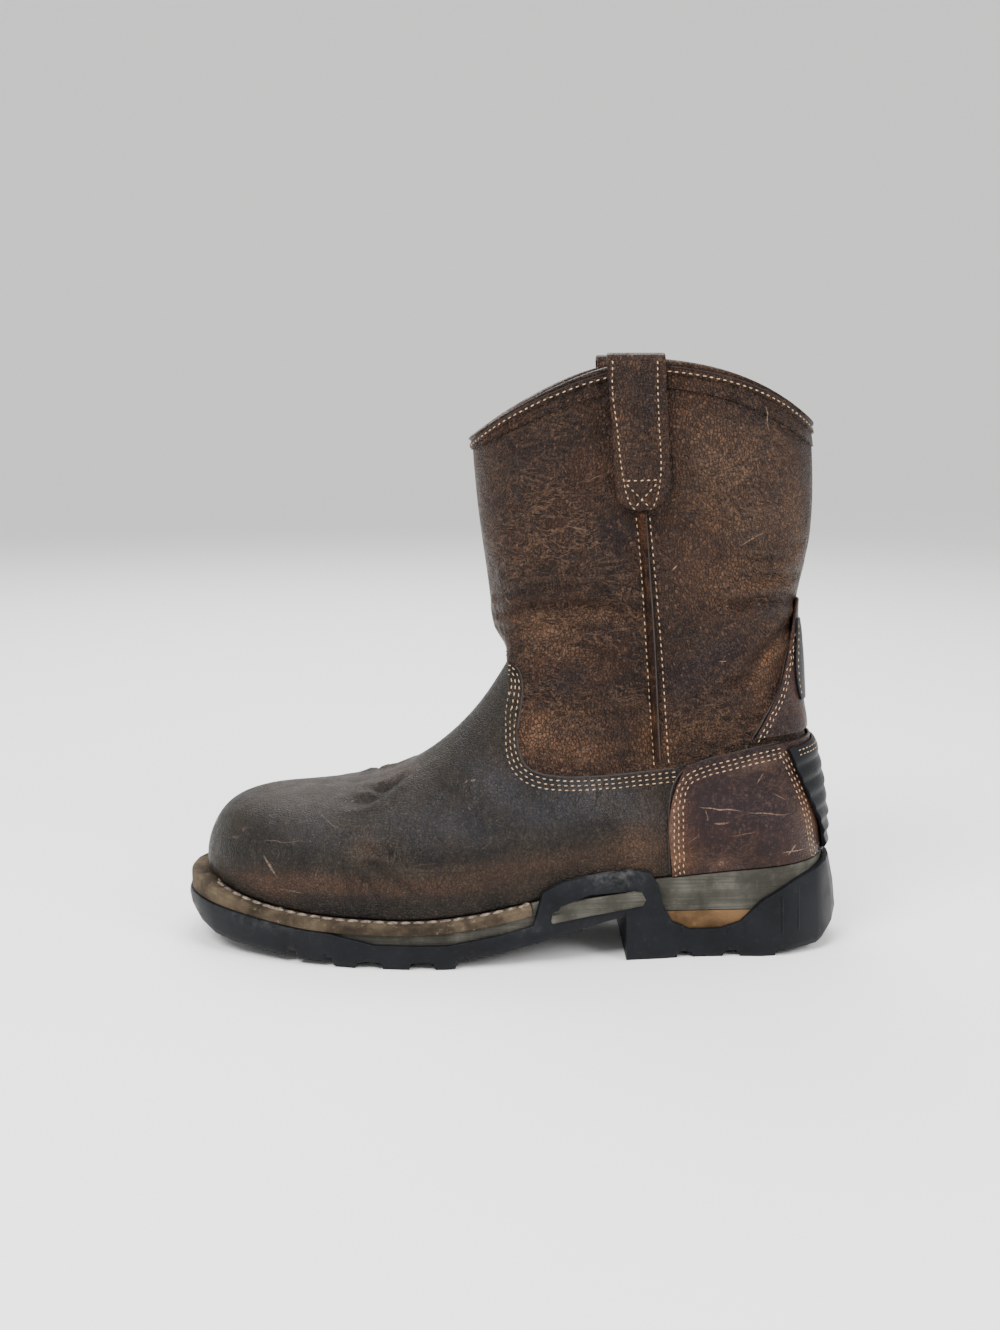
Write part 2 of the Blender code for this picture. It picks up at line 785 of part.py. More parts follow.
def spokes(shares):
    """Places round the feather line, with the way out square to it in plan.

    Each spoke has its share along the last, point and direction. The line runs
    from the toe along the lateral side to the heel and back on the medial side.
    """
    sides = []
    for side in (LATERAL, MEDIAL):
        columns = np.linspace(0, 3, 3001)
        line = base_skin(side, columns, 0.0)
        tangent = np.gradient(line[:, :2], axis=0)
        normal = np.stack([tangent[:, 1], -tangent[:, 0]], axis=1) * -side
        normal[0], normal[-1] = (-1, 0), (1, 0)
        normal /= np.linalg.norm(normal, axis=1)[:, None]
        at = np.interp(station(shares), line[:, 0], np.arange(len(columns)))
        at[0], at[-1] = 0, len(columns) - 1
        pick = [np.interp(at, np.arange(len(columns)), a) for a in (*line[:, :2].T, *normal.T)]
        sides.append(np.stack([shares, *pick], axis=1))
    return round_trip(*sides)


def side_ledge(share):
    """Sole's edge beyond the upper."""
    side = SOLE_LEDGE * smooth(SIDE_LEDGE, 1, share)
    toe = blend(1 - share / 0.10) * (TOE_LEDGE - SOLE_LEDGE * SIDE_LEDGE[0][1])
    heel = blend((share - 0.90) / 0.10) * (HEEL_LEDGE - SOLE_LEDGE * SIDE_LEDGE[-1][1])
    return side + toe + heel


def tray_height(share):
    front = straight(SOLE_HEIGHTS, 2, share)
    behind = blend((share - TRAY_STEP + 0.002) / 0.004)
    return HEEL_SEAT * (front + (HEEL_TRAY - front) * behind)


def ground_height(share):
    front = straight(SOLE_HEIGHTS, 3, share)
    back = straight(HEEL_GROUND, 1, share)
    return HEEL_SEAT * np.where(share < BREAST, front, back)


def welt_foot(share):
    return HEEL_SEAT * smooth(SOLE_HEIGHTS, 1, share)


def rim_height(share):
    under_welt = welt_foot(share) - SEAT
    own = HEEL_SEAT * straight(RIM, 1, share)
    rim = np.where(share < RIM[0][0], under_welt, np.minimum(own, np.where(share < WELT_END, under_welt, 1)))
    return np.maximum(rim, tray_height(share) + 0.0008)


def layer_face(share, z):
    """Edge of midsole and heel layer beyond the upper at a height."""
    foot = side_ledge(share) - RUBBER_WALL - SEAT
    top = SOLE_LEDGE * smooth(SIDE_LEDGE, 2, share)
    low, high = HEEL_SEAT * HEEL_TRAY, feather_height(share)
    low = np.where(share < TRAY_STEP, tray_height(share), low)
    return foot + (top - foot) * np.clip((z - low) / (high - low), 0, 1)


def loop(spoke, out, z):
    share, x, y, nx, ny = spoke.T
    return np.stack([x + nx * out, y + ny * out, np.broadcast_to(z, x.shape)], axis=1)


def seat_loop(spoke, out, rise=0.0):
    """A loop on the surface that the upper sits on, or a given way above it."""
    points = loop(spoke, out, 0.0)
    points[:, 2] = seat_height(points[:, 0]) + rise
    return points


def rungs(points, count, fractions, height_of=None):
    """Points across the sole between the two sides of a closed line."""
    grid = []
    for k in range(count + 1):
        a, b = points[k], points[-k % len(points)]
        row = []
        for f in fractions:
            p = (a + b) / 2 + (b - a) / 2 * f
            if height_of is not None:
                p = height_of(k, f, p)
            row.append(p)
        grid.append(row)
    return grid


def capped_stack(name, loops, count, bottom, top, finish):
    """Loops stacked from bottom to top, closed by points across each end.

    bottom and top are grids from rungs(), without the points of the loops.
    """
    size = 2 * count
    points = np.concatenate(loops)
    faces = grid_faces(len(loops), size, False, True)
    points = list(points)
    for cap, first, flip in ((bottom, 0, True), (top, (len(loops) - 1) * size, False)):
        inner = len(cap[0])
        ids = np.zeros((count + 1, inner + 2), int)
        for k in range(count + 1):
            ids[k, 0], ids[k, -1] = first + k, first + (-k % size)
            for j in range(inner):
                if k in (0, count):
                    ids[k, j + 1] = first + k
                else:
                    ids[k, j + 1] = len(points)
                    points.append(np.array(cap[k][j]))
        for k in range(count):
            for j in range(inner + 1):
                quad = [ids[k, j], ids[k, j + 1], ids[k + 1, j + 1], ids[k + 1, j]]
                unique = [int(q) for n, q in enumerate(quad) if q != quad[n - 1]]
                if len(unique) > 2:
                    faces.append(tuple(unique if flip else reversed(unique)))
    return add_piece(name, points, faces, finish)


TOE_MARKS = [0, 0.002, 0.009, 0.022, 0.042, 0.070, 0.105]
HEEL_MARKS = [0.94, 0.970, 0.990, 0.998, 1]
EVEN_MARKS = [0.3, 0.5, 0.7]
FINE_STEP = 0.030         # longest share of the last between two stations
COARSE_STEP = 0.045


def sole_shares(marks, step=FINE_STEP):
    """Stations for a sole piece: every named place, and enough between them."""
    named = sorted(set(np.round(TOE_MARKS + HEEL_MARKS + list(marks), 5)))
    shares = [named[0]]
    for mark in named[1:]:
        pieces = max(1, math.ceil((mark - shares[-1]) / step - 0.2))
        shares += list(np.linspace(shares[-1], mark, pieces + 1)[1:])
    return np.array(shares)


def upper_bulge(side, share, z):
    """How far the upper's side at a height stands out beyond its feather line."""
    x, low = station(share), feather_height(share)
    bulges = [
        s * (middle(x, z) - middle(x, low)) + half_width(s, x, z) - half_width(s, x, low)
        for s in (LATERAL, MEDIAL)
    ]
    return np.where(side == LATERAL, *bulges)


def groove_rise(share, across):
    """How far a groove lifts the tread at a place of its running surface."""
    rise = 0.0
    for start, end, slant, reach in GROOVES:
        shift = -slant * (1 - abs(across))
        inside = start + shift + 0.001 < share < end + shift - 0.001
        if inside and abs(across) > 1 - reach:
            rise = GROOVE_DEPTH
    return rise


def make_outsole():
    ramp = 0.0035
    marks = [BREAST - 0.0008, BREAST + 0.0012, TRAY_STEP - 0.002, TRAY_STEP + 0.002]
    marks += [row[0] for row in RIM] + [0.258, 0.424, 0.436, 0.925, 0.935]
    for start, end, _, _ in GROOVES:
        marks += [start, start + ramp, end - ramp, end]
    shares = sole_shares(marks)
    spoke = spokes(shares)
    share = spoke[:, 0]
    count = len(shares) - 1
    ground, tray, rim = ground_height(share), tray_height(share), rim_height(share)
    seat = feather_height(share)
    lifted = ground + np.array([groove_rise(s, 1) for s in share])
    proud = RUBBER_PROUD * np.where(share > WELT_END, blend((rim - tray) / 0.006 - 0.3), 0)
    edge = side_ledge(share) + proud
    lip = layer_face(share, np.minimum(rim, seat)) + SEAT
    side = np.where(np.arange(len(share)) <= count, LATERAL, MEDIAL)
    hug = upper_bulge(side, share, rim) + 2 * SEAT
    lip = lip + (hug - lip) * blend((rim - seat) / 0.004)
    side_low = lifted + np.minimum(0.003, (rim - lifted) * 0.35)
    side_high = np.maximum(lifted + (rim - lifted) * 0.55, side_low + 0.0004)
    top_out = np.clip(edge, lip + RUBBER_WALL, lip + RUBBER_WALL + proud)
    mid_out = np.where(share > 0.9, edge + (top_out - edge) * 0.35, edge)
    loops = [
        loop(spoke, edge - EDGE_CHAMFER, lifted),
        loop(spoke, edge, side_low),
        loop(spoke, mid_out, side_high),
        loop(spoke, top_out, rim - 0.0003),
        loop(spoke, top_out - 0.0006, rim),
        loop(spoke, lip, rim),
        loop(spoke, layer_face(share, tray) + SEAT, tray),
    ]
    tread_across = [-0.9, -0.52, -0.44, 0.44, 0.52, 0.9]

    def tread(k, f, p):
        z = ground[k] + groove_rise(share[k], f)
        return np.array([p[0], p[1], z])

    bottom = rungs(loops[0], count, tread_across, tread)
    floor = rungs(loops[-1], count, [])
    outsole = capped_stack("outsole", loops, count, bottom, floor, material("black rubber", RUBBER_BLACK, 0.55))
    cut_window(outsole)


def cut_window(outsole):
    """Open the arch guard on both sides so that the midsole shows."""
    outsole.modifiers.new("flat_faces", "TRIANGULATE")
    corners = [(float(station(s)), h * HEEL_SEAT) for s, h in WINDOW]
    for side, name in ((LATERAL, "window_lateral"), (MEDIAL, "window_medial")):
        near = []
        for x, z in corners:
            edge = base_skin(side, np.array([column_at(side, 0.0, x)]), 0.0)[0, 1]
            near.append((x, edge - side * RUBBER_WALL, z))
        far = [(x, y + side * (SOLE_LEDGE + 5 * RUBBER_WALL), z) for x, y, z in near]
        size = len(corners)
        faces = grid_faces(2, size, False, True)
        faces += [tuple(range(size)), tuple(size + k for k in reversed(range(size)))]
        cutter = add_piece(name, near + far, faces, None, hidden=True)
        cut = outsole.modifiers.new(name, "BOOLEAN")
        cut.operation = "DIFFERENCE"
        cut.solver = "EXACT"
        cut.object = cutter


def make_heel_layer():
    """Tan insert between the heel's rubber and the midsole."""
    first, last = TRAY_STEP + 0.006, 0.970
    shares = [first] + [row[0] for row in RIM if first + 0.005 < row[0] < last] + [last]
    inner = []
    for s in shares:
        row = spokes(np.array([0, s, 1.0]))
        inner.append((row[1], row[3]))
    sections = []
    low = HEEL_SEAT * HEEL_TRAY + SEAT
    high = HEEL_SEAT * HEEL_LAYER_TOP - SEAT
    for lateral, medial in inner:
        section = []
        for spoke, z in ((lateral, low), (medial, low), (medial, high), (lateral, high)):
            out = float(layer_face(spoke[0], z))
            section.append((spoke[1] + spoke[3] * out, spoke[2] + spoke[4] * out, z))
        sections.append(section)
    strip_piece("heel_layer", sections, material("insert foam", INSERT_TAN, 0.8))


def midsole_floor(share):
    """Underside of the midsole, on the rubber in front and on the insert in the heel."""
    on_rubber = tray_height(share) + SEAT
    on_layer = np.where(share > TRAY_STEP - 0.01, HEEL_SEAT * HEEL_LAYER_TOP, 0)
    return np.maximum(on_rubber, on_layer)


def make_midsole():
    marks = [WELT_END + 0.001, WELT_END + 0.0022, TRAY_STEP - 0.002, TRAY_STEP + 0.002]
    marks += [row[0] for row in RIM if row[0] > WELT_END + 0.005]
    shares = sole_shares(marks, COARSE_STEP)
    spoke = spokes(shares)
    share = spoke[:, 0]
    count = len(shares) - 1
    seat = feather_height(share)
    floor = midsole_floor(share)
    welted = share < WELT_END + 0.0016
    ledge = np.maximum(np.where(welted, welt_foot(share) - SEAT, seat), floor + 0.0006)
    inside = -WELT_TUCK - SEAT
    loops = [
        loop(spoke, layer_face(share, floor) - SEAT, floor),
        loop(spoke, layer_face(share, ledge) - SEAT, ledge),
        loop(spoke, inside, ledge),
        seat_loop(spoke, inside),
    ]
    loops[2][~welted] = seat_loop(spoke, inside / 2)[~welted]
    across = [-0.5, 0.5]
    capped_stack(
        "midsole",
        loops,
        count,
        rungs(loops[0], count, across),
        rungs(loops[-1], count, across),
        material("midsole", MIDSOLE_TAUPE, 0.75),
    )


def make_welt():
    """Strip of leather that the vamp and sole are sewn to, round the forefoot."""
    shares = sole_shares(EVEN_MARKS + [WELT_END])
    shares = shares[shares <= WELT_END + 1e-6]
    around = spokes(np.append(shares, 1.0))
    lateral, medial = around[: len(shares)], around[: -len(shares) : -1]
    spoke = np.concatenate([lateral[::-1], medial])
    share = spoke[:, 0]
    edge = side_ledge(share) - WELT_INSET
    foot = welt_foot(share)
    loops = [
        loop(spoke, -WELT_TUCK, foot),
        loop(spoke, edge, foot),
        seat_loop(spoke, edge, -WELT_ROUND - WELT_FALL),
        seat_loop(spoke, edge - WELT_ROUND, -WELT_FALL),
        seat_loop(spoke, WELT_ROUND),
        seat_loop(spoke, -WELT_TUCK),
    ]
    strip_piece("welt", np.array(loops).transpose(1, 0, 2), material("welt leather", WELT_TAN, 0.8))


def make_insole():
    shares = sole_shares(EVEN_MARKS)
    spoke = spokes(shares)
    count = len(shares) - 1
    inside = -LAP - WALL - INSOLE_GAP
    loops = [
        seat_loop(spoke, inside, SEAT),
        seat_loop(spoke, inside - INSOLE_ROUND, SEAT + INSOLE_THICKNESS),
    ]
    across = [-0.4, 0.4]
    capped_stack(
        "insole",
        loops,
        count,
        rungs(loops[0], count, across),
        rungs(loops[-1], count, across),
        material("insole felt", LEATHER_LINING, 0.9),
    )


def clear_scene():
    for item in list(bpy.data.objects):
        bpy.data.objects.remove(item, do_unlink=True)
    for name in (COLLECTION, "cutters"):
        collection = bpy.data.collections.get(name) or bpy.data.collections.new(name)
        if collection.name not in bpy.context.scene.collection.children:
            bpy.context.scene.collection.children.link(collection)


def main():
    clear_scene()
    make_outsole()
    make_heel_layer()
    make_midsole()
    make_welt()
    make_insole()
    make_upper()
    make_counter()
    make_heel_guard()
    make_backstay()
    make_back_tab()
    make_side_seam(LATERAL, "side_seam_lateral")
    make_side_seam(MEDIAL, "side_seam_medial")
    make_binding()
    make_pull_strap(LATERAL, "pull_strap_lateral")
    make_pull_strap(MEDIAL, "pull_strap_medial")


main()
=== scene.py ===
import math

import bmesh
import bpy
import numpy as np
from mathutils import Matrix, Vector
from mathutils.bvhtree import BVHTree


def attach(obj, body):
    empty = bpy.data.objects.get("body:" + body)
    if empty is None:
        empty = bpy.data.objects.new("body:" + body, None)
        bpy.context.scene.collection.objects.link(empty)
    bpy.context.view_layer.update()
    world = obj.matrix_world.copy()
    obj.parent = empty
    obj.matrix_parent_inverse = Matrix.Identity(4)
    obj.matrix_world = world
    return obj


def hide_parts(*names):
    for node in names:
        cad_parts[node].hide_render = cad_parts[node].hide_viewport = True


# Western work boot, left foot: toe to -X, outer side to -Y. Lengths in the
# dictionaries are millimetres unless a note says otherwise.

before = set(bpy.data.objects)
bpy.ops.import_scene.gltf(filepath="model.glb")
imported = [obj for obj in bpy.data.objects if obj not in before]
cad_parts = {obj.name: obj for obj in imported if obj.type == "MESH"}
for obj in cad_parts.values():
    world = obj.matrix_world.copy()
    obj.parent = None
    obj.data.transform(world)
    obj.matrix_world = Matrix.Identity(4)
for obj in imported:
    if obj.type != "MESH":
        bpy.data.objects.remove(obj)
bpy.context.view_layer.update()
mm = 0.001
outerSide = -1
innerSide = 1
boot = {}  # finished pieces by name

cameraValues = {"place": (-5.5, -785, 274), "aim": (-5.5, 0, 135), "lens": 44.3}


def addCamera(values):
    bpy.ops.object.camera_add(location=Vector(values["place"]) * mm)
    camera = bpy.context.object
    camera.name = "photoCamera"
    view = (Vector(values["aim"]) - Vector(values["place"])) * mm
    camera.rotation_euler = view.to_track_quat("-Z", "Y").to_euler()
    camera.data.lens = values["lens"]
    camera.data.sensor_width = 36
    camera.data.clip_start = 0.01
    bpy.context.scene.camera = camera


addCamera(cameraValues)

# small tools


def pick(*pieces):
    bpy.ops.object.select_all(action="DESELECT")
    for piece in pieces:
        piece.select_set(True)
    bpy.context.view_layer.objects.active = pieces[0]
    return pieces[0]


def applyAll(piece):
    pick(piece)
    for modifier in list(piece.modifiers):
        bpy.ops.object.modifier_apply(modifier=modifier.name)


def settle(piece):
    pick(piece)
    bpy.ops.object.transform_apply(location=True, rotation=True, scale=True)
    return piece


def newPiece(name, data):
    piece = bpy.data.objects.new(name, data)
    bpy.context.collection.objects.link(piece)
    return piece


def editAll():
    bpy.ops.object.mode_set(mode="EDIT")
    bpy.ops.mesh.select_all(action="SELECT")


def editDone():
    bpy.ops.object.mode_set(mode="OBJECT")


def faceOutward():
    editAll()
    bpy.ops.mesh.normals_make_consistent(inside=False)
    editDone()


copyValues = {"mergeWithin": 0.00002, "faceAngle": 50, "shapeAngle": 60}  # metres, degrees


def copyNode(node, name):
    # the frame's own mesh is never changed: a copy of it is merged and made quads again
    piece = newPiece(name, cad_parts[node].data.copy())
    piece.data.materials.clear()
    pick(piece)
    editAll()
    bpy.ops.mesh.remove_doubles(threshold=copyValues["mergeWithin"])
    bpy.ops.mesh.tris_convert_to_quads(
        face_threshold=math.radians(copyValues["faceAngle"]),
        shape_threshold=math.radians(copyValues["shapeAngle"]))
    editDone()
    return piece


def edgeAndRound(piece, bevel, levels, angle=40, segments=2, edgeSlot=-1):
    # firm edges get a narrow bevel, then the whole form is rounded
    if bevel:
        edge = piece.modifiers.new("edge", "BEVEL")
        edge.width = bevel * mm
        edge.segments = segments
        edge.limit_method = "ANGLE"
        edge.angle_limit = math.radians(angle)
        edge.material = edgeSlot
    if levels:
        soft = piece.modifiers.new("soft", "SUBSURF")
        soft.levels = levels
        soft.render_levels = levels
    applyAll(piece)
    pick(piece)
    bpy.ops.object.shade_smooth()
    return piece


def keep(piece, node=None):
    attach(piece, "root")
    if node:
        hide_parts(node)
    boot[piece.name] = piece
    return piece


def meshData(piece):
    count = len(piece.data.vertices)
    points = np.empty(count * 3, np.float32)
    normals = np.empty(count * 3, np.float32)
    piece.data.vertices.foreach_get("co", points)
    piece.data.vertex_normals.foreach_get("vector", normals)
    return points.reshape(-1, 3).astype(float), normals.reshape(-1, 3).astype(float)


def setPoints(piece, points):
    piece.data.vertices.foreach_set("co", points.astype(np.float32).ravel())
    piece.data.update()


def treeOf(*pieces):
    points, faces = [], []
    for piece in pieces:
        start = len(points)
        points += [v.co.copy() for v in piece.data.vertices]
        faces += [[start + k for k in p.vertices] for p in piece.data.polygons]
    return BVHTree.FromPolygons(points, faces)


def unit(rows):
    return rows / np.maximum(np.linalg.norm(rows, axis=1)[:, None], 1e-9)


def rowsOf(found):
    # pairs of place and normal become one array of places and one of normals
    return tuple(np.array(part) for part in zip(*found))


def softLine(points, step=1.5):
    # even points on a smooth curve through a few chosen ones
    points = np.array(points, float)
    if len(points) == 2:
        count = max(2, int(np.linalg.norm(points[1] - points[0]) / step) + 1)
        return np.linspace(points[0], points[1], count)
    steps = np.maximum(np.linalg.norm(np.diff(points, axis=0), axis=1), 1e-9)
    along = np.concatenate([[0], np.cumsum(steps)])
    slope = np.gradient(points, along, axis=0)
    at = np.linspace(0, along[-1], max(3, int(along[-1] / step) + 1))
    i = np.clip(np.searchsorted(along, at) - 1, 0, len(points) - 2)
    h = (along[i + 1] - along[i])[:, None]
    t = ((at - along[i])[:, None]) / h
    return (
        (2 * t**3 - 3 * t**2 + 1) * points[i]
        + (t**3 - 2 * t**2 + t) * h * slope[i]
        + (3 * t**2 - 2 * t**3) * points[i + 1]
        + (t**3 - t**2) * h * slope[i + 1]
    )


def sidePoint(tree, x, z, side):
    # where a line across the boot first meets the surface, x and z in millimetres
    start = Vector((x * mm, side * 0.2, z * mm))
    hit, normal, face, far = tree.ray_cast(start, Vector((0, -side, 0)))
    if hit is None:
        hit, normal, face, far = tree.find_nearest(Vector((x * mm, side * 0.01, z * mm)))
    return np.array(hit), np.array(normal)


def aroundPoint(tree, centre, angle, z):
    # where a level line towards an upright axis first meets the surface
    way = Vector((math.cos(angle), math.sin(angle), 0))
    start = Vector((centre[0] * mm, centre[1] * mm, z * mm)) + way * 0.4
    hit, normal, face, far = tree.ray_cast(start, -way)
    if hit is None:
        return None, None
    return np.array(hit), np.array(normal)


def sideRoute(tree, points, side, step=1.0):
    return rowsOf([sidePoint(tree, x, z, side) for x, z in softLine(points, step)])


besideStep = 0.8


def besideRoute(tree, route, away, side):
    # a row beside another one on the surface, reached in small steps; away can be negative
    points, normals = route
    count = max(1, round(abs(away) / besideStep))
    for k in range(count):
        over = np.cross(normals, unit(np.gradient(points, axis=0))) * -side
        moved = evened(points + evened(over, 4) * away / count * mm, 1)
        points, normals = outermost(tree, moved, evened(normals, 3))
    return points, normals


def evened(rows, times):
    # neighbours are averaged, the ends stay
    for k in range(times):
        rows = np.concatenate([rows[:1], (rows[:-2] + rows[1:-1] * 2 + rows[2:]) / 4, rows[-1:]])
    return rows


def outermost(tree, points, normals):
    # each point is dropped again onto the outer surface from just above it
    found = []
    for point, normal in zip(points, normals):
        way = Vector(normal).normalized()
        hit, up, face, far = tree.ray_cast(Vector(point) + way * 0.004, -way, 0.009)
        if hit is None:
            hit, up, face, far = tree.find_nearest(Vector(point))
        found.append((hit, up))
    return rowsOf(found)


def readAt(at, along, rows):
    return np.stack([np.interp(at, along, rows[:, k]) for k in range(3)], axis=1)


def evenSpots(route, pitch):
    # middles of even spans along a route, with the way it runs and the way up
    points, normals = route
    steps = np.linalg.norm(np.diff(points, axis=0), axis=1)
    along = np.concatenate([[0], np.cumsum(steps)])
    count = max(1, int(along[-1] / (pitch * mm)))
    at = (np.arange(count) + 0.5) * along[-1] / count
    place = readAt(at, along, points)
    way = unit(readAt(at + 0.0008, along, points) - readAt(at - 0.0008, along, points))
    up = readAt(at, along, normals)
    return place, way, unit(up - way * (up * way).sum(1)[:, None])


# materials: every pattern reads Object coordinates or a painted attribute


def plug(tree, socket, value):
    if isinstance(value, bpy.types.NodeSocket):
        tree.links.new(value, socket)
    else:
        socket.default_value = value


def addNode(tree, kind, inputs=None, **settings):
    new = tree.nodes.new(kind)
    for key, value in settings.items():
        setattr(new, key, value)
    for key, value in (inputs or {}).items():
        plug(tree, new.inputs[key], value)
    return new


def newMaterial(name, roughness):
    made = bpy.data.materials.new(name)
    made.use_nodes = True
    tree = made.node_tree
    shader = tree.nodes["Principled BSDF"]
    shader.inputs["Roughness"].default_value = roughness
    coords = addNode(tree, "ShaderNodeTexCoord").outputs["Object"]
    return made, tree, shader, coords


def placed(tree, coords, scale, turn=(0, 0, 0)):
    turns = tuple(math.radians(t) for t in turn)
    inputs = {"Vector": coords, "Scale": scale, "Rotation": turns}
    return addNode(tree, "ShaderNodeMapping", inputs).outputs[0]


def noise(tree, coords, size, detail=4.0, rough=0.55, twist=0.0):
    # size is the width of one patch in millimetres
    inputs = {"Vector": coords, "Scale": 1000 / size, "Detail": detail, "Roughness": rough}
    return addNode(tree, "ShaderNodeTexNoise", dict(inputs, Distortion=twist)).outputs["Fac"]


def between(tree, value, low, high, lowOut=0.0, highOut=1.0):
    inputs = {"Value": value, "From Min": low, "From Max": high}
    inputs.update({"To Min": lowOut, "To Max": highOut})
    return addNode(tree, "ShaderNodeMapRange", inputs, interpolation_type="SMOOTHSTEP").outputs[0]


def sums(tree, kind, a, b=0.0):
    return addNode(tree, "ShaderNodeMath", {0: a, 1: b}, operation=kind).outputs[0]


def times(tree, a, b):
    return sums(tree, "MULTIPLY", a, b)


def vectors(tree, kind, a, b):
    return addNode(tree, "ShaderNodeVectorMath", {0: a, 1: b}, operation=kind).outputs[0]


def mixed(tree, share, a, b):
    # inputs 6 and 7 of the node are its two colours
    a, b = ((*c, 1) if isinstance(c, tuple) else c for c in (a, b))
    return addNode(tree, "ShaderNodeMix", {0: share, 6: a, 7: b}, data_type="RGBA").outputs[2]


def bent(tree, coords, scale, detail, reach):
    # coordinates pushed about by a noise, by at most half of reach in metres
    inputs = {"Vector": coords, "Scale": scale, "Detail": detail}
    sway = addNode(tree, "ShaderNodeTexNoise", inputs).outputs[1]
    sway = vectors(tree, "SUBTRACT", sway, (0.5, 0.5, 0.5))
    return vectors(tree, "ADD", coords, vectors(tree, "MULTIPLY", sway, (reach,) * 3))


def painted(tree, name):
    return addNode(tree, "ShaderNodeAttribute", attribute_name=name).outputs["Fac"]


def bumped(tree, height, depth, normal=None):
    # depth in millimetres
    inputs = {"Height": height, "Distance": depth * mm, "Strength": 1.0}
    if normal is not None:
        inputs["Normal"] = normal
    return addNode(tree, "ShaderNodeBump", inputs).outputs[0]


def scratched(tree, coords, colour, marks, pale):
    # each scratch is a thin oval: x, z, length, width, angle, strength, side
    wavy = bent(tree, coords, 120.0, 1.0, 0.003)
    total = 0.0
    for x, z, long, wide, angle, strength, side in marks:
        inputs = {"Vector": wavy, "Location": (x * mm, side * 0.038, z * mm)}
        inputs["Rotation"] = (0, -math.radians(angle), 0)
        inputs["Scale"] = (long / 2 * mm, 0.06, wide / 2 * mm)
        spot = addNode(tree, "ShaderNodeMapping", inputs, vector_type="TEXTURE").outputs[0]
        spot = addNode(tree, "ShaderNodeTexGradient", {"Vector": spot}, gradient_type="SPHERICAL")
        reached = between(tree, spot.outputs["Fac"], 0.0, 0.55, 0, strength)
        total = sums(tree, "MAXIMUM", reached, total)
    broken = between(tree, noise(tree, coords, 1.4, 3, 0.7), 0.36, 0.56, 0.25, 1.0)
    return mixed(tree, times(tree, total, broken), colour, pale)


def leather(name, look, marks):
    made, tree, shader, coords = newMaterial(name, look["roughness"])
    cloud = noise(tree, coords, look["cloud"], 3, 0.5, 0.4)
    mottle = noise(tree, coords, look["mottle"], 6, 0.65)
    colour = mixed(tree, between(tree, cloud, 0.38, 0.62), look["deep"], look["base"])
    colour = mixed(tree, between(tree, mottle, 0.46, 0.74, 0, 0.7), colour, look["warm"])
    # tan is the leather's own tone; plum is painted shade in hollows and, on the vamp, a painted sheen; dark
    # is darker tone with painted shade
    for name, tone in (("tan", "tan"), ("plumShadeAndSheen", "plumShadeAndSheen"), ("darkAndShade", "deep")):
        colour = mixed(tree, painted(tree, name), colour, look[tone])
    # rubbed wear plus painted sheen: lighter colour where the rub attribute is painted
    rubAndSheen = times(tree, painted(tree, "rubAndSheen"), between(tree, mottle, 0.30, 0.60, 0.35, 1.0))
    colour = mixed(tree, rubAndSheen, colour, look["rubbedAndSheen"])
    # bent coordinates keep the grain from looking like tiles
    bend = bent(tree, coords, 90.0, 3.0, look["swirl"] * mm)
    grain = {"Vector": placed(tree, bend, look["grainStretch"]), "Scale": 1000 / look["pebble"]}
    pebble = addNode(tree, "ShaderNodeTexVoronoi", grain, feature="DISTANCE_TO_EDGE")
    pebble = pebble.outputs["Distance"]
    tone = addNode(tree, "ShaderNodeTexVoronoi", grain).outputs["Color"]
    fine = noise(tree, bend, look["pebble"] * 0.5, 3, 0.7)
    dome = between(tree, pebble, 0.0, 0.24)
    # each grain has its own tone, and the furrows round it are darker
    light = sums(tree, "ADD", times(tree, tone, 0.5), times(tree, fine, 0.9))
    tops = between(tree, light, 0.74, 1.15, 0.0, look["tops"])
    colour = mixed(tree, tops, colour, look["rubbedAndSheen"])
    shadow = between(tree, light, 0.40, 0.72, look["furrow"] * 0.8, 0.0)
    colour = mixed(tree, shadow, colour, look["deep"])
    furrow = between(tree, pebble, 0.0, 0.16, look["furrow"], 0.0)
    colour = mixed(tree, furrow, colour, look["deep"])
    # nets of small wrinkles: dark inside, pale along their lips
    height = times(tree, dome, look["pebbleDepth"])
    height = sums(tree, "ADD", height, times(tree, fine, look["pebbleDepth"] * 0.6))
    for size, stretch, turn, depth, share, mask in look["nets"]:
        lines = noise(tree, placed(tree, bend, stretch, turn), size, 4, 0.6, 0.5)
        ridge = sums(tree, "ABSOLUTE", sums(tree, "SUBTRACT", lines, 0.5))
        patchy = between(tree, noise(tree, coords, size * 3.2, 3, 0.5), 0.38, 0.60, 0.15, 1.0)
        amount = times(tree, patchy, share)
        if mask:
            reach = sums(tree, "ADD", painted(tree, mask), look["everywhere"])
            amount = times(tree, amount, reach)
        lip = sums(tree, "ABSOLUTE", sums(tree, "SUBTRACT", ridge, 0.050))
        lip = times(tree, amount, between(tree, lip, 0.0, 0.024, 1.0, 0.0))
        colour = mixed(tree, times(tree, lip, look["lips"]), colour, look["rubbedAndSheen"])
        inside = times(tree, amount, between(tree, ridge, 0.0, 0.030, 1.0, 0.0))
        colour = mixed(tree, inside, colour, look["deep"])
        furrow = times(tree, between(tree, ridge, 0.0, 0.06, -1.0, 0.0), amount)
        height = sums(tree, "ADD", height, times(tree, furrow, depth))
    colour = scratched(tree, coords, colour, marks, look["pale"])
    tree.links.new(colour, shader.inputs["Base Color"])
    gloss = between(tree, mottle, 0.3, 0.7, look["roughness"] - 0.08, look["roughness"] + 0.12)
    tree.links.new(gloss, shader.inputs["Roughness"])
    normal = bumped(tree, height, 1.0)
    normal = bumped(tree, noise(tree, coords, 5.0, 4, 0.6), look["lumpDepth"], normal)
    tree.links.new(normal, shader.inputs["Normal"])
    shader.inputs["Specular IOR Level"].default_value = look["specular"]
    return made


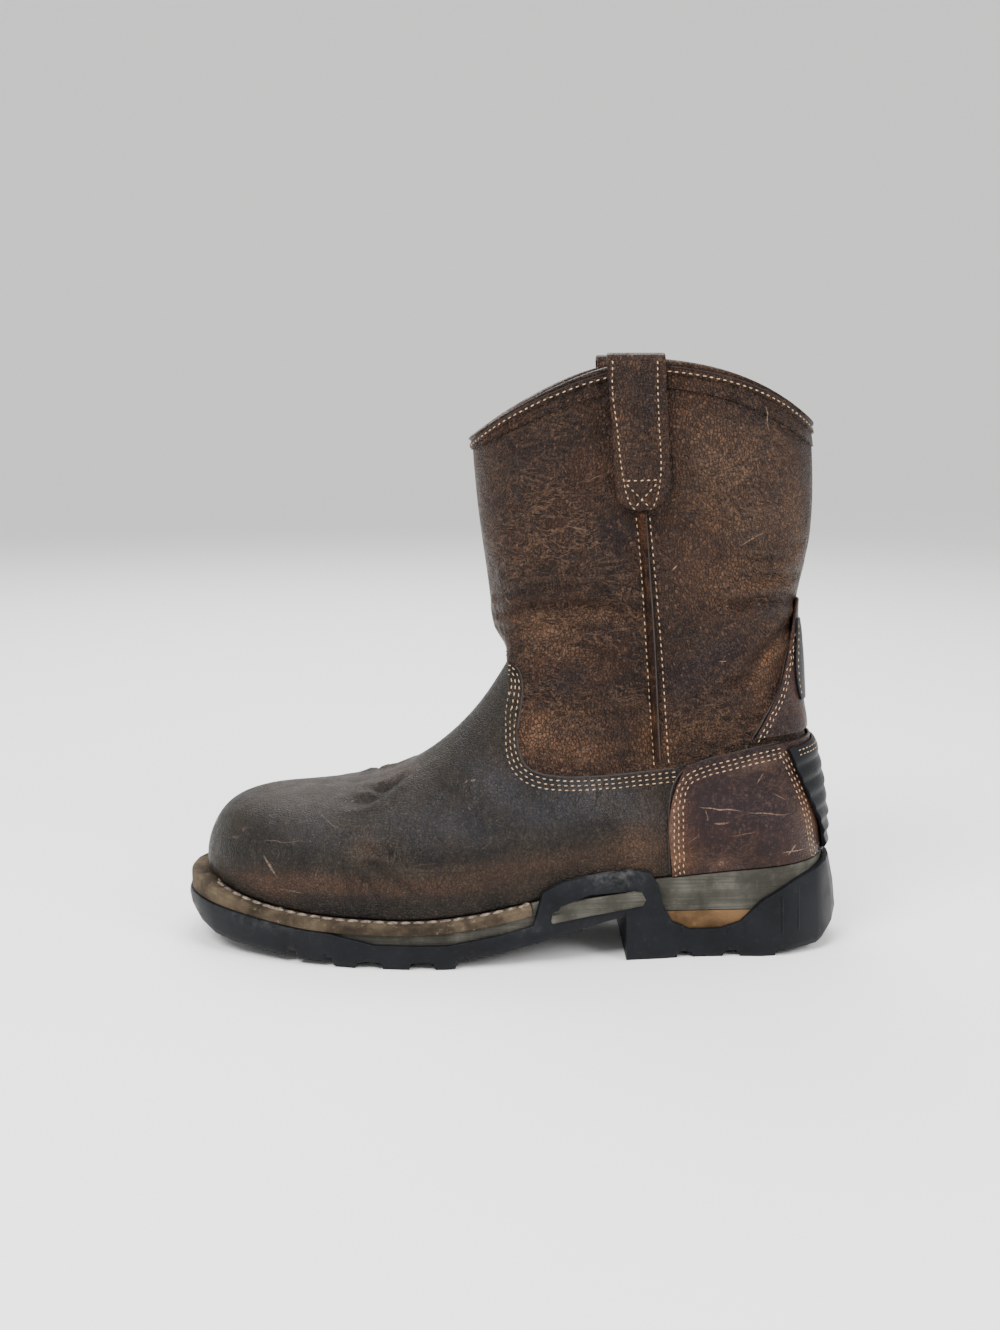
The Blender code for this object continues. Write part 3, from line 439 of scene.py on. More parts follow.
def rubber(name, look):
    made, tree, shader, coords = newMaterial(name, look["roughness"])
    cloud = noise(tree, coords, 22, 4, 0.6)
    dust = noise(tree, coords, 3.2, 6, 0.7)
    fine = noise(tree, coords, 0.7, 3, 0.7)
    colour = mixed(tree, between(tree, cloud, 0.35, 0.7), look["deep"], look["base"])
    colour = mixed(tree, between(tree, dust, 0.56, 0.78, 0, look["dust"]), colour, look["dusty"])
    rubAndSheen = times(tree, painted(tree, "rubAndSheen"), between(tree, dust, 0.35, 0.7))
    colour = mixed(tree, rubAndSheen, colour, look["dusty"])
    gloss = between(tree, cloud, 0.3, 0.7, look["roughness"] - 0.07, look["roughness"] + 0.1)
    tree.links.new(gloss, shader.inputs["Roughness"])
    height = fine
    if look["lines"]:
        layers = noise(tree, placed(tree, coords, (0.02, 0.02, 1.0)), look["lines"], 3, 0.6)
        height = sums(tree, "ADD", fine, times(tree, layers, 3.0))
        stripe = between(tree, layers, 0.45, 0.62, 0, 0.55)
        colour = mixed(tree, stripe, colour, look["deep"])
    tree.links.new(colour, shader.inputs["Base Color"])
    tree.links.new(bumped(tree, height, look["depth"]), shader.inputs["Normal"])
    shader.inputs["Specular IOR Level"].default_value = look["specular"]
    return made


def plain(name, look):
    made, tree, shader, coords = newMaterial(name, look["roughness"])
    fine = noise(tree, coords, look["size"], 5, 0.65)
    colour = mixed(tree, between(tree, fine, 0.36, 0.66), look["deep"], look["base"])
    tree.links.new(colour, shader.inputs["Base Color"])
    tree.links.new(bumped(tree, fine, look["depth"]), shader.inputs["Normal"])
    return made


# nets: size, stretch, turn, depth, share, painted mask
vampLook = {
    "deep": (0.0035, 0.0028, 0.0026), "base": (0.0140, 0.0112, 0.0080), "warm": (0.026, 0.0175, 0.0108),
    # the vamp's plum is a lighter grey: a painted sheen
    "tan": (0.055, 0.027, 0.0155), "plumShadeAndSheen": (0.029, 0.029, 0.035), "rubbedAndSheen": (0.065, 0.049, 0.035),
    "pale": (0.16, 0.115, 0.082), "cloud": 55, "mottle": 9, "swirl": 3.0,
    "pebble": 1.4, "grainStretch": (1, 1, 1), "pebbleDepth": 0.22, "furrow": 0.65,
    "tops": 0.60, "lumpDepth": 0.45, "everywhere": 0.30,
    "nets": [(6.0, (1.0, 1.0, 0.45), (0, 35, 0), 0.45, 0.6, "wrinkle"),
             (3.4, (1.0, 1.0, 0.7), (0, 20, 0), 0.22, 0.45, "wrinkle")],
    "lips": 0.55, "roughness": 0.42, "specular": 0.135,
}
shaftLook = {
    "deep": (0.0055, 0.0024, 0.0018), "base": (0.0325, 0.0132, 0.0065), "warm": (0.058, 0.0240, 0.0108),
    # the shaft's plum is a dark purple: painted shade in hollows
    "tan": (0.112, 0.050, 0.021), "plumShadeAndSheen": (0.0090, 0.0045, 0.0068), "rubbedAndSheen": (0.150, 0.082, 0.048),
    "pale": (0.25, 0.155, 0.105), "cloud": 42, "mottle": 7, "swirl": 4.0,
    "pebble": 1.6, "grainStretch": (1.15, 1.15, 0.85), "pebbleDepth": 0.46, "furrow": 0.95,
    "tops": 0.55, "lumpDepth": 0.60, "everywhere": 0.40,
    "nets": [(9.0, (0.40, 0.40, 1.0), (0, 0, 0), 0.85, 0.55, "wrinkle"),
             (4.6, (0.7, 0.7, 1.0), (0, 12, 0), 0.50, 0.45, "wrinkle"),
             (4.0, (1.0, 1.0, 0.6), (0, -10, 0), 0.32, 0.28, None)],
    "lips": 0.50, "roughness": 0.36, "specular": 0.145,
}
counterLook = dict(
    shaftLook, deep=(0.0085, 0.0040, 0.0038), base=(0.0340, 0.0132, 0.0088), warm=(0.054, 0.0215, 0.0130),
    plumShadeAndSheen=(0.0135, 0.0068, 0.0090), rubbedAndSheen=(0.120, 0.070, 0.052), pebble=1.4, pebbleDepth=0.12, furrow=0.5,
    tops=0.45, lumpDepth=0.3, roughness=0.38, everywhere=0.1,
    nets=[(7.0, (0.5, 0.5, 1.0), (0, 0, 0), 0.15, 0.35, None)],
)
seamLook = dict(
    shaftLook, base=(0.066, 0.027, 0.0130), warm=(0.095, 0.042, 0.0195), pebble=1.2, tops=0.3,
    pebbleDepth=0.08, lumpDepth=0.15, roughness=0.55, specular=0.06,
    nets=[(4.0, (1.0, 1.0, 0.6), (0, 0, 0), 0.10, 0.3, None)],
)
scratches = {
    # x, z, length, width, angle, strength, side of the boot
    "shaft": [
        (116, 254, 15, 0.7, -80, 0.8, -1), (111, 200, 18, 0.6, 24, 0.55, -1),
        (74.5, 187, 4.5, 0.9, 40, 0.8, -1), (-3, 171, 10, 0.5, -45, 0.45, -1),
        (98.5, 142.5, 5, 0.6, -8, 0.8, -1), (38, 228.5, 9, 0.6, 25, 0.4, -1),
        (22, 144.5, 5, 0.5, 50, 0.4, -1), (96, 238, 8, 0.45, 60, 0.35, -1),
        (30, 205, 14, 0.45, -12, 0.35, -1), (88, 216, 10, 0.4, -35, 0.35, -1),
        (8, 232, 12, 0.4, 8, 0.3, -1), (30, 240, 16, 0.6, -30, 0.5, 1), (100, 190, 20, 0.6, 15, 0.5, 1),
        (16, 180, 12, 0.5, 60, 0.45, 1), (95, 145, 14, 0.6, -20, 0.5, 1),
    ],
    "vamp": [
        (-114, 45, 14, 1.6, -52, 0.75, -1), (-108, 57.5, 30, 0.5, 6, 0.35, -1),
        (-18, 86, 3.0, 1.2, 10, 0.7, -1), (-21, 85.4, 2.0, 0.9, 60, 0.5, -1),
        (-133, 55, 6, 2.0, 20, 0.30, -1), (-128, 60, 5, 2.4, 40, 0.25, -1),
        (-85, 66, 12, 0.5, -25, 0.3, -1), (-40, 50, 16, 0.5, 10, 0.3, -1),
        (-12, 58, 10, 0.5, 40, 0.3, -1), (-104, 34, 16, 1.2, 0, 0.25, -1),
        (-92, 44, 6, 1.0, 70, 0.25, -1), (-100, 45, 16, 1.4, 35, 0.5, 1),
        (-60, 60, 20, 0.6, -10, 0.4, 1), (-10, 60, 14, 0.6, 20, 0.4, 1),
    ],
    "counter": [
        (99, 72.6, 24, 0.8, -7, 0.85, -1), (122, 69.6, 26, 0.7, -4, 0.65, -1),
        (99, 65.6, 9, 1.4, 5, 0.40, -1), (117.5, 87, 7, 0.7, 58, 0.65, -1),
        (135, 50, 15, 0.8, 2, 0.75, -1), (134, 50.5, 9, 0.8, 52, 0.65, -1),
        (92, 69.5, 7, 0.5, -85, 0.55, -1), (99, 45, 4, 3.0, 0, 0.30, -1),
        (110, 60, 14, 0.5, 12, 0.45, -1), (126, 78, 10, 0.5, -30, 0.4, -1),
        (86, 58, 8, 0.5, 40, 0.4, -1), (105, 66, 26, 0.8, 8, 0.7, 1), (122, 80, 10, 0.7, -50, 0.6, 1),
        (90, 56, 12, 0.7, 25, 0.5, 1),
    ],
}
rubberLook = {
    "deep": (0.0030, 0.0033, 0.0045), "base": (0.0060, 0.0066, 0.0088), "dusty": (0.10, 0.10, 0.10),
    "dust": 0.10, "roughness": 0.46, "specular": 0.13, "depth": 0.12, "lines": 0,
}
midsoleLook = {
    "deep": (0.026, 0.025, 0.020), "base": (0.086, 0.081, 0.068), "dusty": (0.17, 0.16, 0.135), "dust": 0.35,
    "roughness": 0.76, "specular": 0.10, "depth": 0.16, "lines": 1.7,
}
insertLook = {
    "deep": (0.050, 0.028, 0.013), "base": (0.125, 0.072, 0.034), "dusty": (0.20, 0.135, 0.075), "dust": 0.5,
    "roughness": 0.8, "specular": 0.10, "depth": 0.18, "lines": 0,
}
weltLook = {
    "deep": (0.018, 0.013, 0.009), "base": (0.095, 0.070, 0.045), "dusty": (0.19, 0.155, 0.110), "dust": 0.85,
    "roughness": 0.82, "specular": 0.10, "depth": 0.55, "lines": 0,
}
liningLook = {
    "deep": (0.035, 0.012, 0.009), "base": (0.085, 0.030, 0.022), "size": 1.6,
    "depth": 0.12, "roughness": 0.8,
}
insoleLook = {
    "deep": (0.06, 0.042, 0.030), "base": (0.12, 0.085, 0.060), "size": 1.2,
    "depth": 0.15, "roughness": 0.9,
}
threadLook = {
    "deep": (0.22, 0.13, 0.065), "base": (0.52, 0.36, 0.21), "size": 0.9,
    "depth": 0.12, "roughness": 0.7,
}
weltThreadLook = dict(threadLook, deep=(0.045, 0.032, 0.021), base=(0.20, 0.152, 0.105), size=2.2, depth=0.3)
# near-black for bars that stand for dark cut edges and for painted shadow lines in steps, gaps and grooves
cutEdgeAndShadowLook = {
    "deep": (0.006, 0.004, 0.003), "base": (0.020, 0.011, 0.008), "size": 1.5,
    "depth": 0.08, "roughness": 0.8,
}
rubbedRubberLook = dict(
    rubberLook, deep=(0.006, 0.0065, 0.008), base=(0.020, 0.021, 0.024), dust=0.7, roughness=0.7)
holeLook = {
    "deep": (0.006, 0.004, 0.003), "base": (0.012, 0.008, 0.006), "size": 2, "depth": 0.02, "roughness": 0.9,
}

vampLeather = leather("vampLeather", vampLook, scratches["vamp"])
shaftLeather = leather("shaftLeather", shaftLook, scratches["shaft"])
counterLeather = leather("counterLeather", counterLook, scratches["counter"])
seamLeather = leather("seamLeather", seamLook, [])
cutEdgeAndShadow = plain("cutEdgeAndShadow", cutEdgeAndShadowLook)
rubbedRubber = rubber("rubbedRubber", rubbedRubberLook)
blackRubber = rubber("blackRubber", rubberLook)
midsoleFoam = rubber("midsoleFoam", midsoleLook)
insertFoam = rubber("insertFoam", insertLook)
weltLeather = rubber("weltLeather", weltLook)
liningCloth = plain("liningCloth", liningLook)
insoleFelt = plain("insoleFelt", insoleLook)
thread = plain("thread", threadLook)
weltThread = plain("weltThread", weltThreadLook)
needleHole = plain("needleHole", holeLook)
print("materials ready")


def oval(points, x, z, wide, high, turn):
    # 1 in the middle of a soft oval seen from the side, turned in degrees, 0 far from it
    c, s = math.cos(math.radians(turn)), math.sin(math.radians(turn))
    dx, dz = points[:, 0] / mm - x, points[:, 2] / mm - z
    u, v = (dx * c + dz * s) / wide, (-dx * s + dz * c) / high
    return np.exp(-(u * u + v * v))


def paint(piece, name, patches, start=0.0):
    # each patch is x, z, half width, half height, turn and strength
    points = meshData(piece)[0]
    value = np.zeros(len(points)) + start
    for *place, strength in patches:
        value = value + strength * oval(points, *place)
    attribute = piece.data.attributes.get(name) or piece.data.attributes.new(name, "FLOAT", "POINT")
    attribute.data.foreach_set("value", np.clip(value, 0, 1).astype(np.float32))


# upper: one sculpted shell outside, one smooth lining inside

spine = [(-130, 3, 42), (-90, 3, 48), (-40, 0, 55), (10, 0, 70), (55, 0, 80), (61, 0, 120), (61, 0, 275)]

# edge of the vamp where it is lapped over the shaft: x, z
vampEdge = [
    (-0.3, 141.0), (3.3, 137.6), (5.1, 130.4), (4.2, 120.8), (2.7, 108.8), (3.6, 100.0), (6.7, 94.1),
    (12.4, 90.9), (21.8, 89.1), (39.6, 88.8), (66.2, 90.8), (88.3, 94.9), (112.5, 100.6), (144.3, 103.1),
]

# folds: points on the side, then width, depth and lift of the ridges beside it
creases = {
    "shaft": [
        ([(-8, 161), (8, 167), (31, 169), (59, 166)], 2.6, 1.5, 0.9),
        ([(-6, 155), (4, 156), (22, 162)], 2.4, 1.0, 0.5),
        ([(4, 124), (23, 126), (44, 117), (60, 119)], 2.4, 0.9, 0.6),
        ([(6, 119), (23, 121), (41, 114)], 1.8, 0.6, 0.4),
        ([(11, 129), (30, 130), (46, 125)], 2.0, 0.6, 0.4),
        ([(0, 141), (2, 136), (4, 129)], 2.6, 1.1, 0.6),
        ([(-3, 182), (13, 185), (36, 184)], 2.6, 0.5, 0.3),
        ([(-7, 169), (4, 173), (22, 177), (50, 176)], 2.2, 0.7, 0.4),
        ([(15, 153), (36, 148), (60, 140)], 2.6, 0.7, 0.5),
        ([(22, 160), (41, 157), (59, 151)], 2.2, 0.6, 0.4),
        ([(137, 168), (124, 171), (108, 169), (94, 169)], 2.4, 1.1, 0.7),
        ([(138, 181), (120, 181), (103, 181)], 2.2, 0.7, 0.4),
        ([(130, 191), (115, 189), (96, 190)], 2.0, 0.5, 0.3),
        ([(136, 158), (124, 151), (114, 140), (104, 130)], 3.0, 1.0, 0.7),
        ([(88, 110), (105, 113), (120, 114)], 2.0, 0.5, 0.4),
        ([(83, 124), (98, 129), (112, 133)], 2.4, 0.6, 0.4),
        ([(140, 197), (130, 196), (118, 200)], 2.2, 0.5, 0.3),
    ],
    "vamp": [
        ([(-72, 77), (-62, 78), (-54, 82)], 2.4, 1.3, 0.8),
        ([(-54, 82), (-60, 78), (-69, 74), (-77, 73)], 3.0, 1.1, 0.8),
        ([(-73, 54), (-65, 49), (-56, 42), (-43, 35)], 2.2, 0.8, 0.5),
        ([(-75, 57), (-64, 56), (-52, 53)], 2.0, 0.6, 0.4),
        ([(-75, 51), (-70, 43), (-63, 35)], 2.0, 0.7, 0.4),
        ([(-78, 50), (-76, 42), (-75, 32)], 2.2, 0.6, 0.4),
        ([(-43, 65), (-33, 59), (-26, 51)], 2.6, 0.5, 0.3),
        ([(39, 80), (46, 74), (56, 70)], 1.8, 0.5, 0.3),
        ([(41, 85), (51, 77), (60, 73)], 1.8, 0.5, 0.3),
        ([(36, 76), (44, 68), (50, 62)], 1.8, 0.4, 0.3),
        ([(-39, 88), (-34, 83), (-27, 79)], 2.4, 0.5, 0.3),
        ([(9, 83), (18, 74), (23, 64)], 2.4, 0.4, 0.3),
    ],
}

# broad swellings and hollows: x, z, half width, half height, turn, height
swells = [
    (8, 160, 16, 8, -10, 1.0), (26, 140, 20, 8, 12, -1.0), (20, 106, 20, 8, 0, 0.8),
    (112, 150, 22, 9, 28, -1.4), (118, 178, 18, 7, 0, 0.7), (100, 122, 20, 10, -15, 0.8),
    (112, 245, 20, 15, 0, 0.5), (90, 200, 22, 24, 0, -0.5), (22, 215, 20, 25, 0, -0.4),
    (-76, 54, 7, 6, 0, 0.6), (-62, 62, 12, 8, 25, -0.7), (50, 76, 22, 8, -30, 0.6),
    (-20, 70, 24, 12, 0, 0.4), (-112, 62, 20, 12, 10, -0.4),
]


def insideShare(points, normals):
    # below zero where a face looks towards the middle of the boot
    line = np.array(softLine(spine, 6.0)) * mm
    nearest = np.argmin(((points[:, None] - line[None]) ** 2).sum(-1), axis=1)
    return ((points - line[nearest]) * normals).sum(1)


def aboveEdge(points):
    # true on the shaft's side of the vamp's edge, seen from the side
    edge = softLine(vampEdge, 1.0)
    ring = np.concatenate([[(-60, 141.2)], edge, [(200, 103.1), (200, 400), (-60, 400)]])
    x, z = points[:, 0] / mm, points[:, 2] / mm
    inside = np.zeros(len(points), bool)
    for (ax, az), (bx, bz) in zip(ring, np.roll(ring, -1, axis=0)):
        crosses = (az > z) != (bz > z)
        with np.errstate(divide="ignore", invalid="ignore"):
            inside ^= crosses & (x < (bx - ax) * (z - az) / (bz - az) + ax)
    return inside


def keepFaces(piece, wanted):
    work = bmesh.new()
    work.from_mesh(piece.data)
    work.faces.ensure_lookup_table()
    gone = [work.faces[k] for k in np.flatnonzero(~wanted)]
    bmesh.ops.delete(work, geom=gone, context="FACES")
    work.to_mesh(piece.data)
    work.free()


def faceData(piece):
    centres = np.array([p.center for p in piece.data.polygons])
    normals = np.array([p.normal for p in piece.data.polygons])
    return centres, normals


# deeper scales the folds; the other two values set the strength and width of the painted shade along them
foldValues = {"deeper": 1.35, "foldShade": 0.75, "foldShadeWidth": 0.75}


def press(piece, folds, swellings):
    # folds are pushed in along the surface's own normals, with soft ridges beside them; a painted shade along
    # each fold is given back
    tree = treeOf(piece)
    points, normals = meshData(piece)
    move = np.zeros(len(points))
    shade = np.zeros(len(points))
    for *place, height in swellings:
        move += height * mm * oval(points, *place) * np.clip(np.abs(normals[:, 1]) * 1.6, 0, 1)
    for side in (outerSide, innerSide):
        for route, width, depth, lift in folds:
            line, lineNormals = sideRoute(tree, route, side, 2.0)
            low, high = line.min(0) - 6 * width * mm, line.max(0) + 6 * width * mm
            near = np.flatnonzero(((points > low) & (points < high)).all(1))
            far = np.sqrt(((points[near][:, None] - line[None]) ** 2).sum(-1))
            closest = far.argmin(1)
            far = far.min(1) / (width * mm)
            t = closest / max(len(line) - 1, 1)
            fade = np.sin(np.pi * np.clip(0.08 + 0.84 * t, 0, 1)) ** 0.6
            shape = -depth * np.exp(-far**2) + lift * np.exp(-(((far - 2.1) / 1.0) ** 2))
            move[near] += shape * fade * foldValues["deeper"] * mm
            # painted shade: colour darkened along the fold's line, where shade falls in the crease
            foldShade = np.exp(-((far / foldValues["foldShadeWidth"]) ** 2)) * min(1.0, depth) * fade
            shade[near] = np.maximum(shade[near], foldShade * foldValues["foldShade"])
    setPoints(piece, points + normals * move[:, None])
    return shade


# the lining's room behind the leather, more room below a height, and the rim left as it is
liningRoom = {"least": 2.6, "more": 1.8, "below": 105, "rim": 270, "rimSlope": 0.9, "rimFree": 6}


def keepInside(piece, shell, values):
    # points of the lining that are too near the leather are moved behind it
    tree = treeOf(shell)
    points, normals = meshData(piece)
    rim = values["rim"] - values["rimSlope"] * abs(points[:, 0] / mm - 64) - values["rimFree"]
    middle = np.array(softLine(spine, 6.0)) * mm
    for k, point in enumerate(points):
        if point[2] / mm > rim[k]:
            continue
        place, normal, face, far = tree.find_nearest(Vector(point))
        more = values["more"] if point[2] < values["below"] * mm else 0
        room = (values["least"] + more) * mm
        behind = (Vector(point) - place).dot(normal)
        if insideShare(point[None], np.array(normal)[None])[0] < 0:
            towards = middle[np.argmin(((middle - point) ** 2).sum(1))]
            inward = Vector(towards - point).normalized()
            if far < room:
                points[k] = np.array(Vector(point) + inward * room)
        elif behind > -room:
            points[k] = np.array(Vector(point) - normal * (behind + room))
    setPoints(piece, points)


def bead(name, route, radius, material, sink, sides=6, taper=True):
    # a round bar laid along a route, sunk into the surface, with thin ends if it tapers
    points, normals = route
    curve = bpy.data.curves.new(name, "CURVE")
    curve.dimensions = "3D"
    curve.bevel_depth = radius * mm
    curve.bevel_resolution = sides // 2 - 1
    curve.use_fill_caps = True
    line = curve.splines.new("POLY")
    line.points.add(len(points) - 1)
    for k, (point, normal) in enumerate(zip(points, normals)):
        place = point - normal * sink * mm
        line.points[k].co = (*place, 1)
        fromEnd = min(k, len(points) - 1 - k)
        line.points[k].radius = min(1.0, 0.25 + 0.25 * fromEnd) if taper else 1.0
    pick(newPiece(name, curve))
    bpy.ops.object.convert(target="MESH")
    piece = bpy.context.object
    piece.data.materials.clear()
    piece.data.materials.append(material)
    bpy.ops.object.shade_smooth()
    return keep(piece, None)


# wear, tones, painted shade and painted sheen: x, z, half width, half height, turn, strength
upperMarks = {
    "tan": [
        (11, 110, 7, 9, -20, 0.8), (28, 101, 12, 5, 0, 0.5), (121, 144, 5, 16, -18, 0.9),
        (133, 200, 6, 26, 6, 0.5), (16, 160, 14, 4.5, -8, 0.55), (40, 166, 12, 4, -5, 0.35),
        (66, 106, 10, 16, 0, 0.4), (118, 178, 14, 5, 14, 0.5), (90, 112, 22, 7, 8, 0.35),
        (-60, 84, 16, 4, 8, 0.6), (-68, 56, 7, 6, 0, 0.55), (-112, 78, 24, 6, 5, 0.5),
        (-105, 84, 36, 9, 0, 0.45), (60, 56, 12, 22, 0, 0.85), (-60, 38, 60, 5, 0, 0.55),
        (10, 48, 60, 6, 6, 0.55), (-95, 40, 26, 6, 0, 0.45), (-116, 34, 16, 5, -20, 0.6),
        (-10, 96, 12, 6, -45, 0.35), (92, 222, 16, 16, 0, 0.25),
    ],
    # plum: painted shade in the shaft's hollows, and a painted sheen on the vamp
    "plumShadeAndSheen": [
        (26, 134, 13, 7, 12, 1.0), (100, 148, 18, 8, 22, 1.0), (88, 136, 12, 9, 40, 0.8),
        (79, 124, 8, 11, 0, 0.55), (122, 168, 9, 5, 30, 0.9), (42, 158, 12, 6, -10, 0.5),
        (13, 182, 12, 12, 0, 0.5), (48, 205, 10, 22, 0, 0.55), (36, 112, 14, 5, 0, 0.5),
        (112, 258, 10, 7, 0, 0.5), (10, 236, 18, 14, -20, 0.4), (66, 240, 6, 24, 0, 0.3),
        (46, 78, 22, 8, -25, 1.0), (20, 74, 24, 10, 0, 0.7), (-30, 66, 26, 10, 0, 0.5),
        (-96, 62, 22, 10, 0, 0.3), (-8, 88, 14, 8, -40, 0.7),
    ],
    # rub: rubbed wear, and painted sheen on the shaft's upper back
    "rubAndSheen": [
        (12, 108, 9, 8, -20, 0.45), (34, 102, 12, 5, 0, 0.30), (100, 236, 17, 15, 10, 0.48),
        (110, 206, 15, 11, 20, 0.42), (12, 160, 13, 6, 0, 0.42), (22, 150, 16, 6, 0, 0.38),
        (40, 164, 14, 5, 0, 0.30), (34, 116, 18, 6, 0, 0.22), (84, 246, 10, 14, 0, 0.25),
        (96, 178, 14, 8, 10, 0.22), (-73, 54, 5, 4, 0, 0.55), (-60, 83, 14, 3, 10, 0.30),
        (46, 76, 16, 5, -28, 0.30), (112, 186, 16, 6, 12, 0.25), (128, 210, 8, 20, 0, 0.20),
        (20, 262, 22, 5, 27, 0.25), (62, 55, 7, 16, 0, 0.20), (-20, 60, 14, 3, 5, 0.20),
        (-40, 46, 16, 3, 0, 0.20),
    ],
    # dark: darker patches, partly tone and partly painted shade, such as the shaft's shaded front and the
    # throat's corner
    "darkAndShade": [
        (0, 140, 7, 6, 0, 0.6), (-20, 104, 14, 7, -45, 0.75), (-100, 28, 60, 4, 5, 0.5),
        (-132, 47, 9, 8, 0, 0.6), (128, 158, 9, 5, 30, 0.6), (-56, 79, 9, 3, 20, 0.8),
        (2, 215, 22, 46, 0, 0.55), (30, 250, 24, 10, 28, 0.35), (-118, 58, 10, 10, 0, 0.40),
        (-44, 84, 12, 5, 0, 0.4), (-84, 82, 30, 6, 0, 0.35), (57, 215, 9, 30, 0, 0.45),
        (138, 235, 6, 24, 0, 0.4), (-5, 70, 14, 6, 0, 0.3),
    ],
    "wrinkle": [
        (30, 165, 36, 18, 0, 1.0), (30, 125, 36, 14, 0, 0.9), (118, 180, 28, 18, 0, 0.9),
        (105, 120, 30, 16, 0, 0.9), (-64, 52, 20, 18, 0, 1.0), (48, 76, 26, 15, -20, 1.0),
        (0, 215, 28, 38, 0, 0.9), (20, 195, 34, 24, 0, 0.6), (-60, 80, 16, 8, 0, 0.8),
        (110, 225, 26, 28, 0, 0.6), (-20, 60, 30, 16, 0, 0.4), (20, 60, 30, 14, 0, 0.4),
    ],
}


def makeUpper():
    shell = copyNode("upper", "upperLeather")
    inner = insideShare(*faceData(shell)) < 0
    lining = newPiece("shaftLining", shell.data.copy())
    shell.data.materials.append(vampLeather)
    shell.data.materials.append(shaftLeather)
    keepFaces(shell, ~inner)
    keepFaces(lining, inner)
    edgeAndRound(shell, 0, 3)
    shell.data.polygons.foreach_set("material_index", aboveEdge(faceData(shell)[0]).astype(np.int32))
    edgeAndRound(lining, 0, 2)
    print("upper's shell", len(shell.data.polygons), "faces")
    shade = press(shell, creases["shaft"] + creases["vamp"], swells)
    keepInside(lining, shell, liningRoom)
    lining.data.materials.append(liningCloth)
    # the folds' painted shade is the dark attribute's starting value
    for name, patches in upperMarks.items():
        paint(shell, name, patches, start=shade if name == "darkAndShade" else 0.0)
    keep(shell, "upper")
    keep(lining, None)
    return shell


upper = makeUpper()
print("upper folded")


def dressNode(node, name, material, bevel, levels, angle=40, marks=None, edges=None, shape=None):
    piece = copyNode(node, name)
    piece.data.materials.append(material)
    if edges:
        piece.data.materials.append(edges)
    edgeAndRound(piece, bevel, levels, angle, edgeSlot=1 if edges else -1)
    if shape:
        points, normals = meshData(piece)
        setPoints(piece, shape(points, normals))
    for attribute in ("tan", "plumShadeAndSheen", "rubAndSheen", "darkAndShade", "wrinkle"):
        paint(piece, attribute, (marks or {}).get(attribute, []))
    return keep(piece, node)


def smooth(value, low, high):
    t = np.clip((value - low) / (high - low), 0, 1)
    return t * t * (3 - 2 * t)


collarShape = {
    "middle": (61, 0), "roll": 0.7, "rollAt": 1.5, "rollWide": 1.2, "groove": 1.1, "grooveAt": 3.3,
    "grooveWide": 0.7, "bandEnd": 6.2, "bandFade": 1.4, "sink": 4.2,
}


def rimHeights(points):
    # height of the collar all round, by angle about the shaft's middle
    angles = np.arctan2(points[:, 1], points[:, 0] - collarShape["middle"][0] * mm)
    bins = np.linspace(-math.pi, math.pi, 97)
    tops = np.array([points[(angles >= a) & (angles <= b), 2].max() for a, b in zip(bins[:-1], bins[1:])])
    middles = (bins[:-1] + bins[1:]) / 2
    tops = (np.roll(tops, 1) + tops * 2 + np.roll(tops, -1)) / 4
    return lambda angle: np.interp(angle, middles, tops, period=2 * math.pi)


collarRim = None


def shapeCollar(points, normals):
    # a rolled bead on top, a groove under it, and a band that ends flush below the stitches
    global collarRim
    collarRim = rimHeights(points)
    v = collarShape
    offset = points[:, :2] - np.array(v["middle"]) * mm
    angle = np.arctan2(offset[:, 1], offset[:, 0])
    down = (collarRim(angle) - points[:, 2]) / mm
    way = offset / np.linalg.norm(offset, axis=1)[:, None]
    outside = smooth((normals[:, :2] * way).sum(1), -0.1, 0.35)
    move = v["roll"] * np.exp(-(((down - v["rollAt"]) / v["rollWide"]) ** 2))
    move -= v["groove"] * np.exp(-(((down - v["grooveAt"]) / v["grooveWide"]) ** 2))
    move -= v["sink"] * smooth(down, v["bandEnd"], v["bandEnd"] + v["bandFade"])
    points[:, :2] += way * (move * outside * mm)[:, None]
    return points


strapShape = {"left": 46, "right": 62, "wider": 5.6, "low": 212, "high": 226, "lowShare": 0.25}


def shapeStrap(points, normals):
    # wider towards the heel, where a second layer shows beside the stitches
    v = strapShape
    x, z = points[:, 0] / mm, points[:, 2] / mm
    up = v["lowShare"] + (1 - v["lowShare"]) * smooth(z, v["low"], v["high"])
    points[:, 0] += smooth(x, v["left"], v["right"]) * v["wider"] * up * mm
    return points


tabShape = {"close": 1.2, "share": 0.62}


def shapeTab(points, normals):
    # the tab lies close against the back of the leather
    close = tabShape["close"] * mm
    for k, point in enumerate(points):
        place, normal, face, far = upperTree.find_nearest(Vector(point))
        out = (Vector(point) - place).dot(normal)
        if out > close:
            points[k] = np.array(place + normal * (close + (out - close) * tabShape["share"]))
    return points


counterMarks = {
    "rubAndSheen": [(140, 60, 6, 16, 10, 0.20), (76, 66, 3, 26, 0, 0.30), (118, 94, 18, 3, 15, 0.35),
            (99, 45, 8, 4, 0, 0.25)],
    "tan": [(76, 66, 4, 26, 0, 0.5), (80, 48, 8, 6, 0, 0.5), (142, 66, 3, 18, 12, 0.45)],
    "plumShadeAndSheen": [(98, 74, 14, 13, 0, 0.9), (118, 72, 16, 8, -8, 0.8), (126, 58, 10, 8, 0, 0.5)],
    "darkAndShade": [(110, 43, 30, 2.5, 4, 0.5)],
}
upperTree = treeOf(boot["upperLeather"])
dressNode("heel_counter", "heelCounter", counterLeather, 0.35, 2, marks=counterMarks)
dressNode("backstay", "backstayLeather", counterLeather, 0.35, 2)
dressNode("side_seam_lateral", "outerSeamPiping", seamLeather, 0.3, 2)
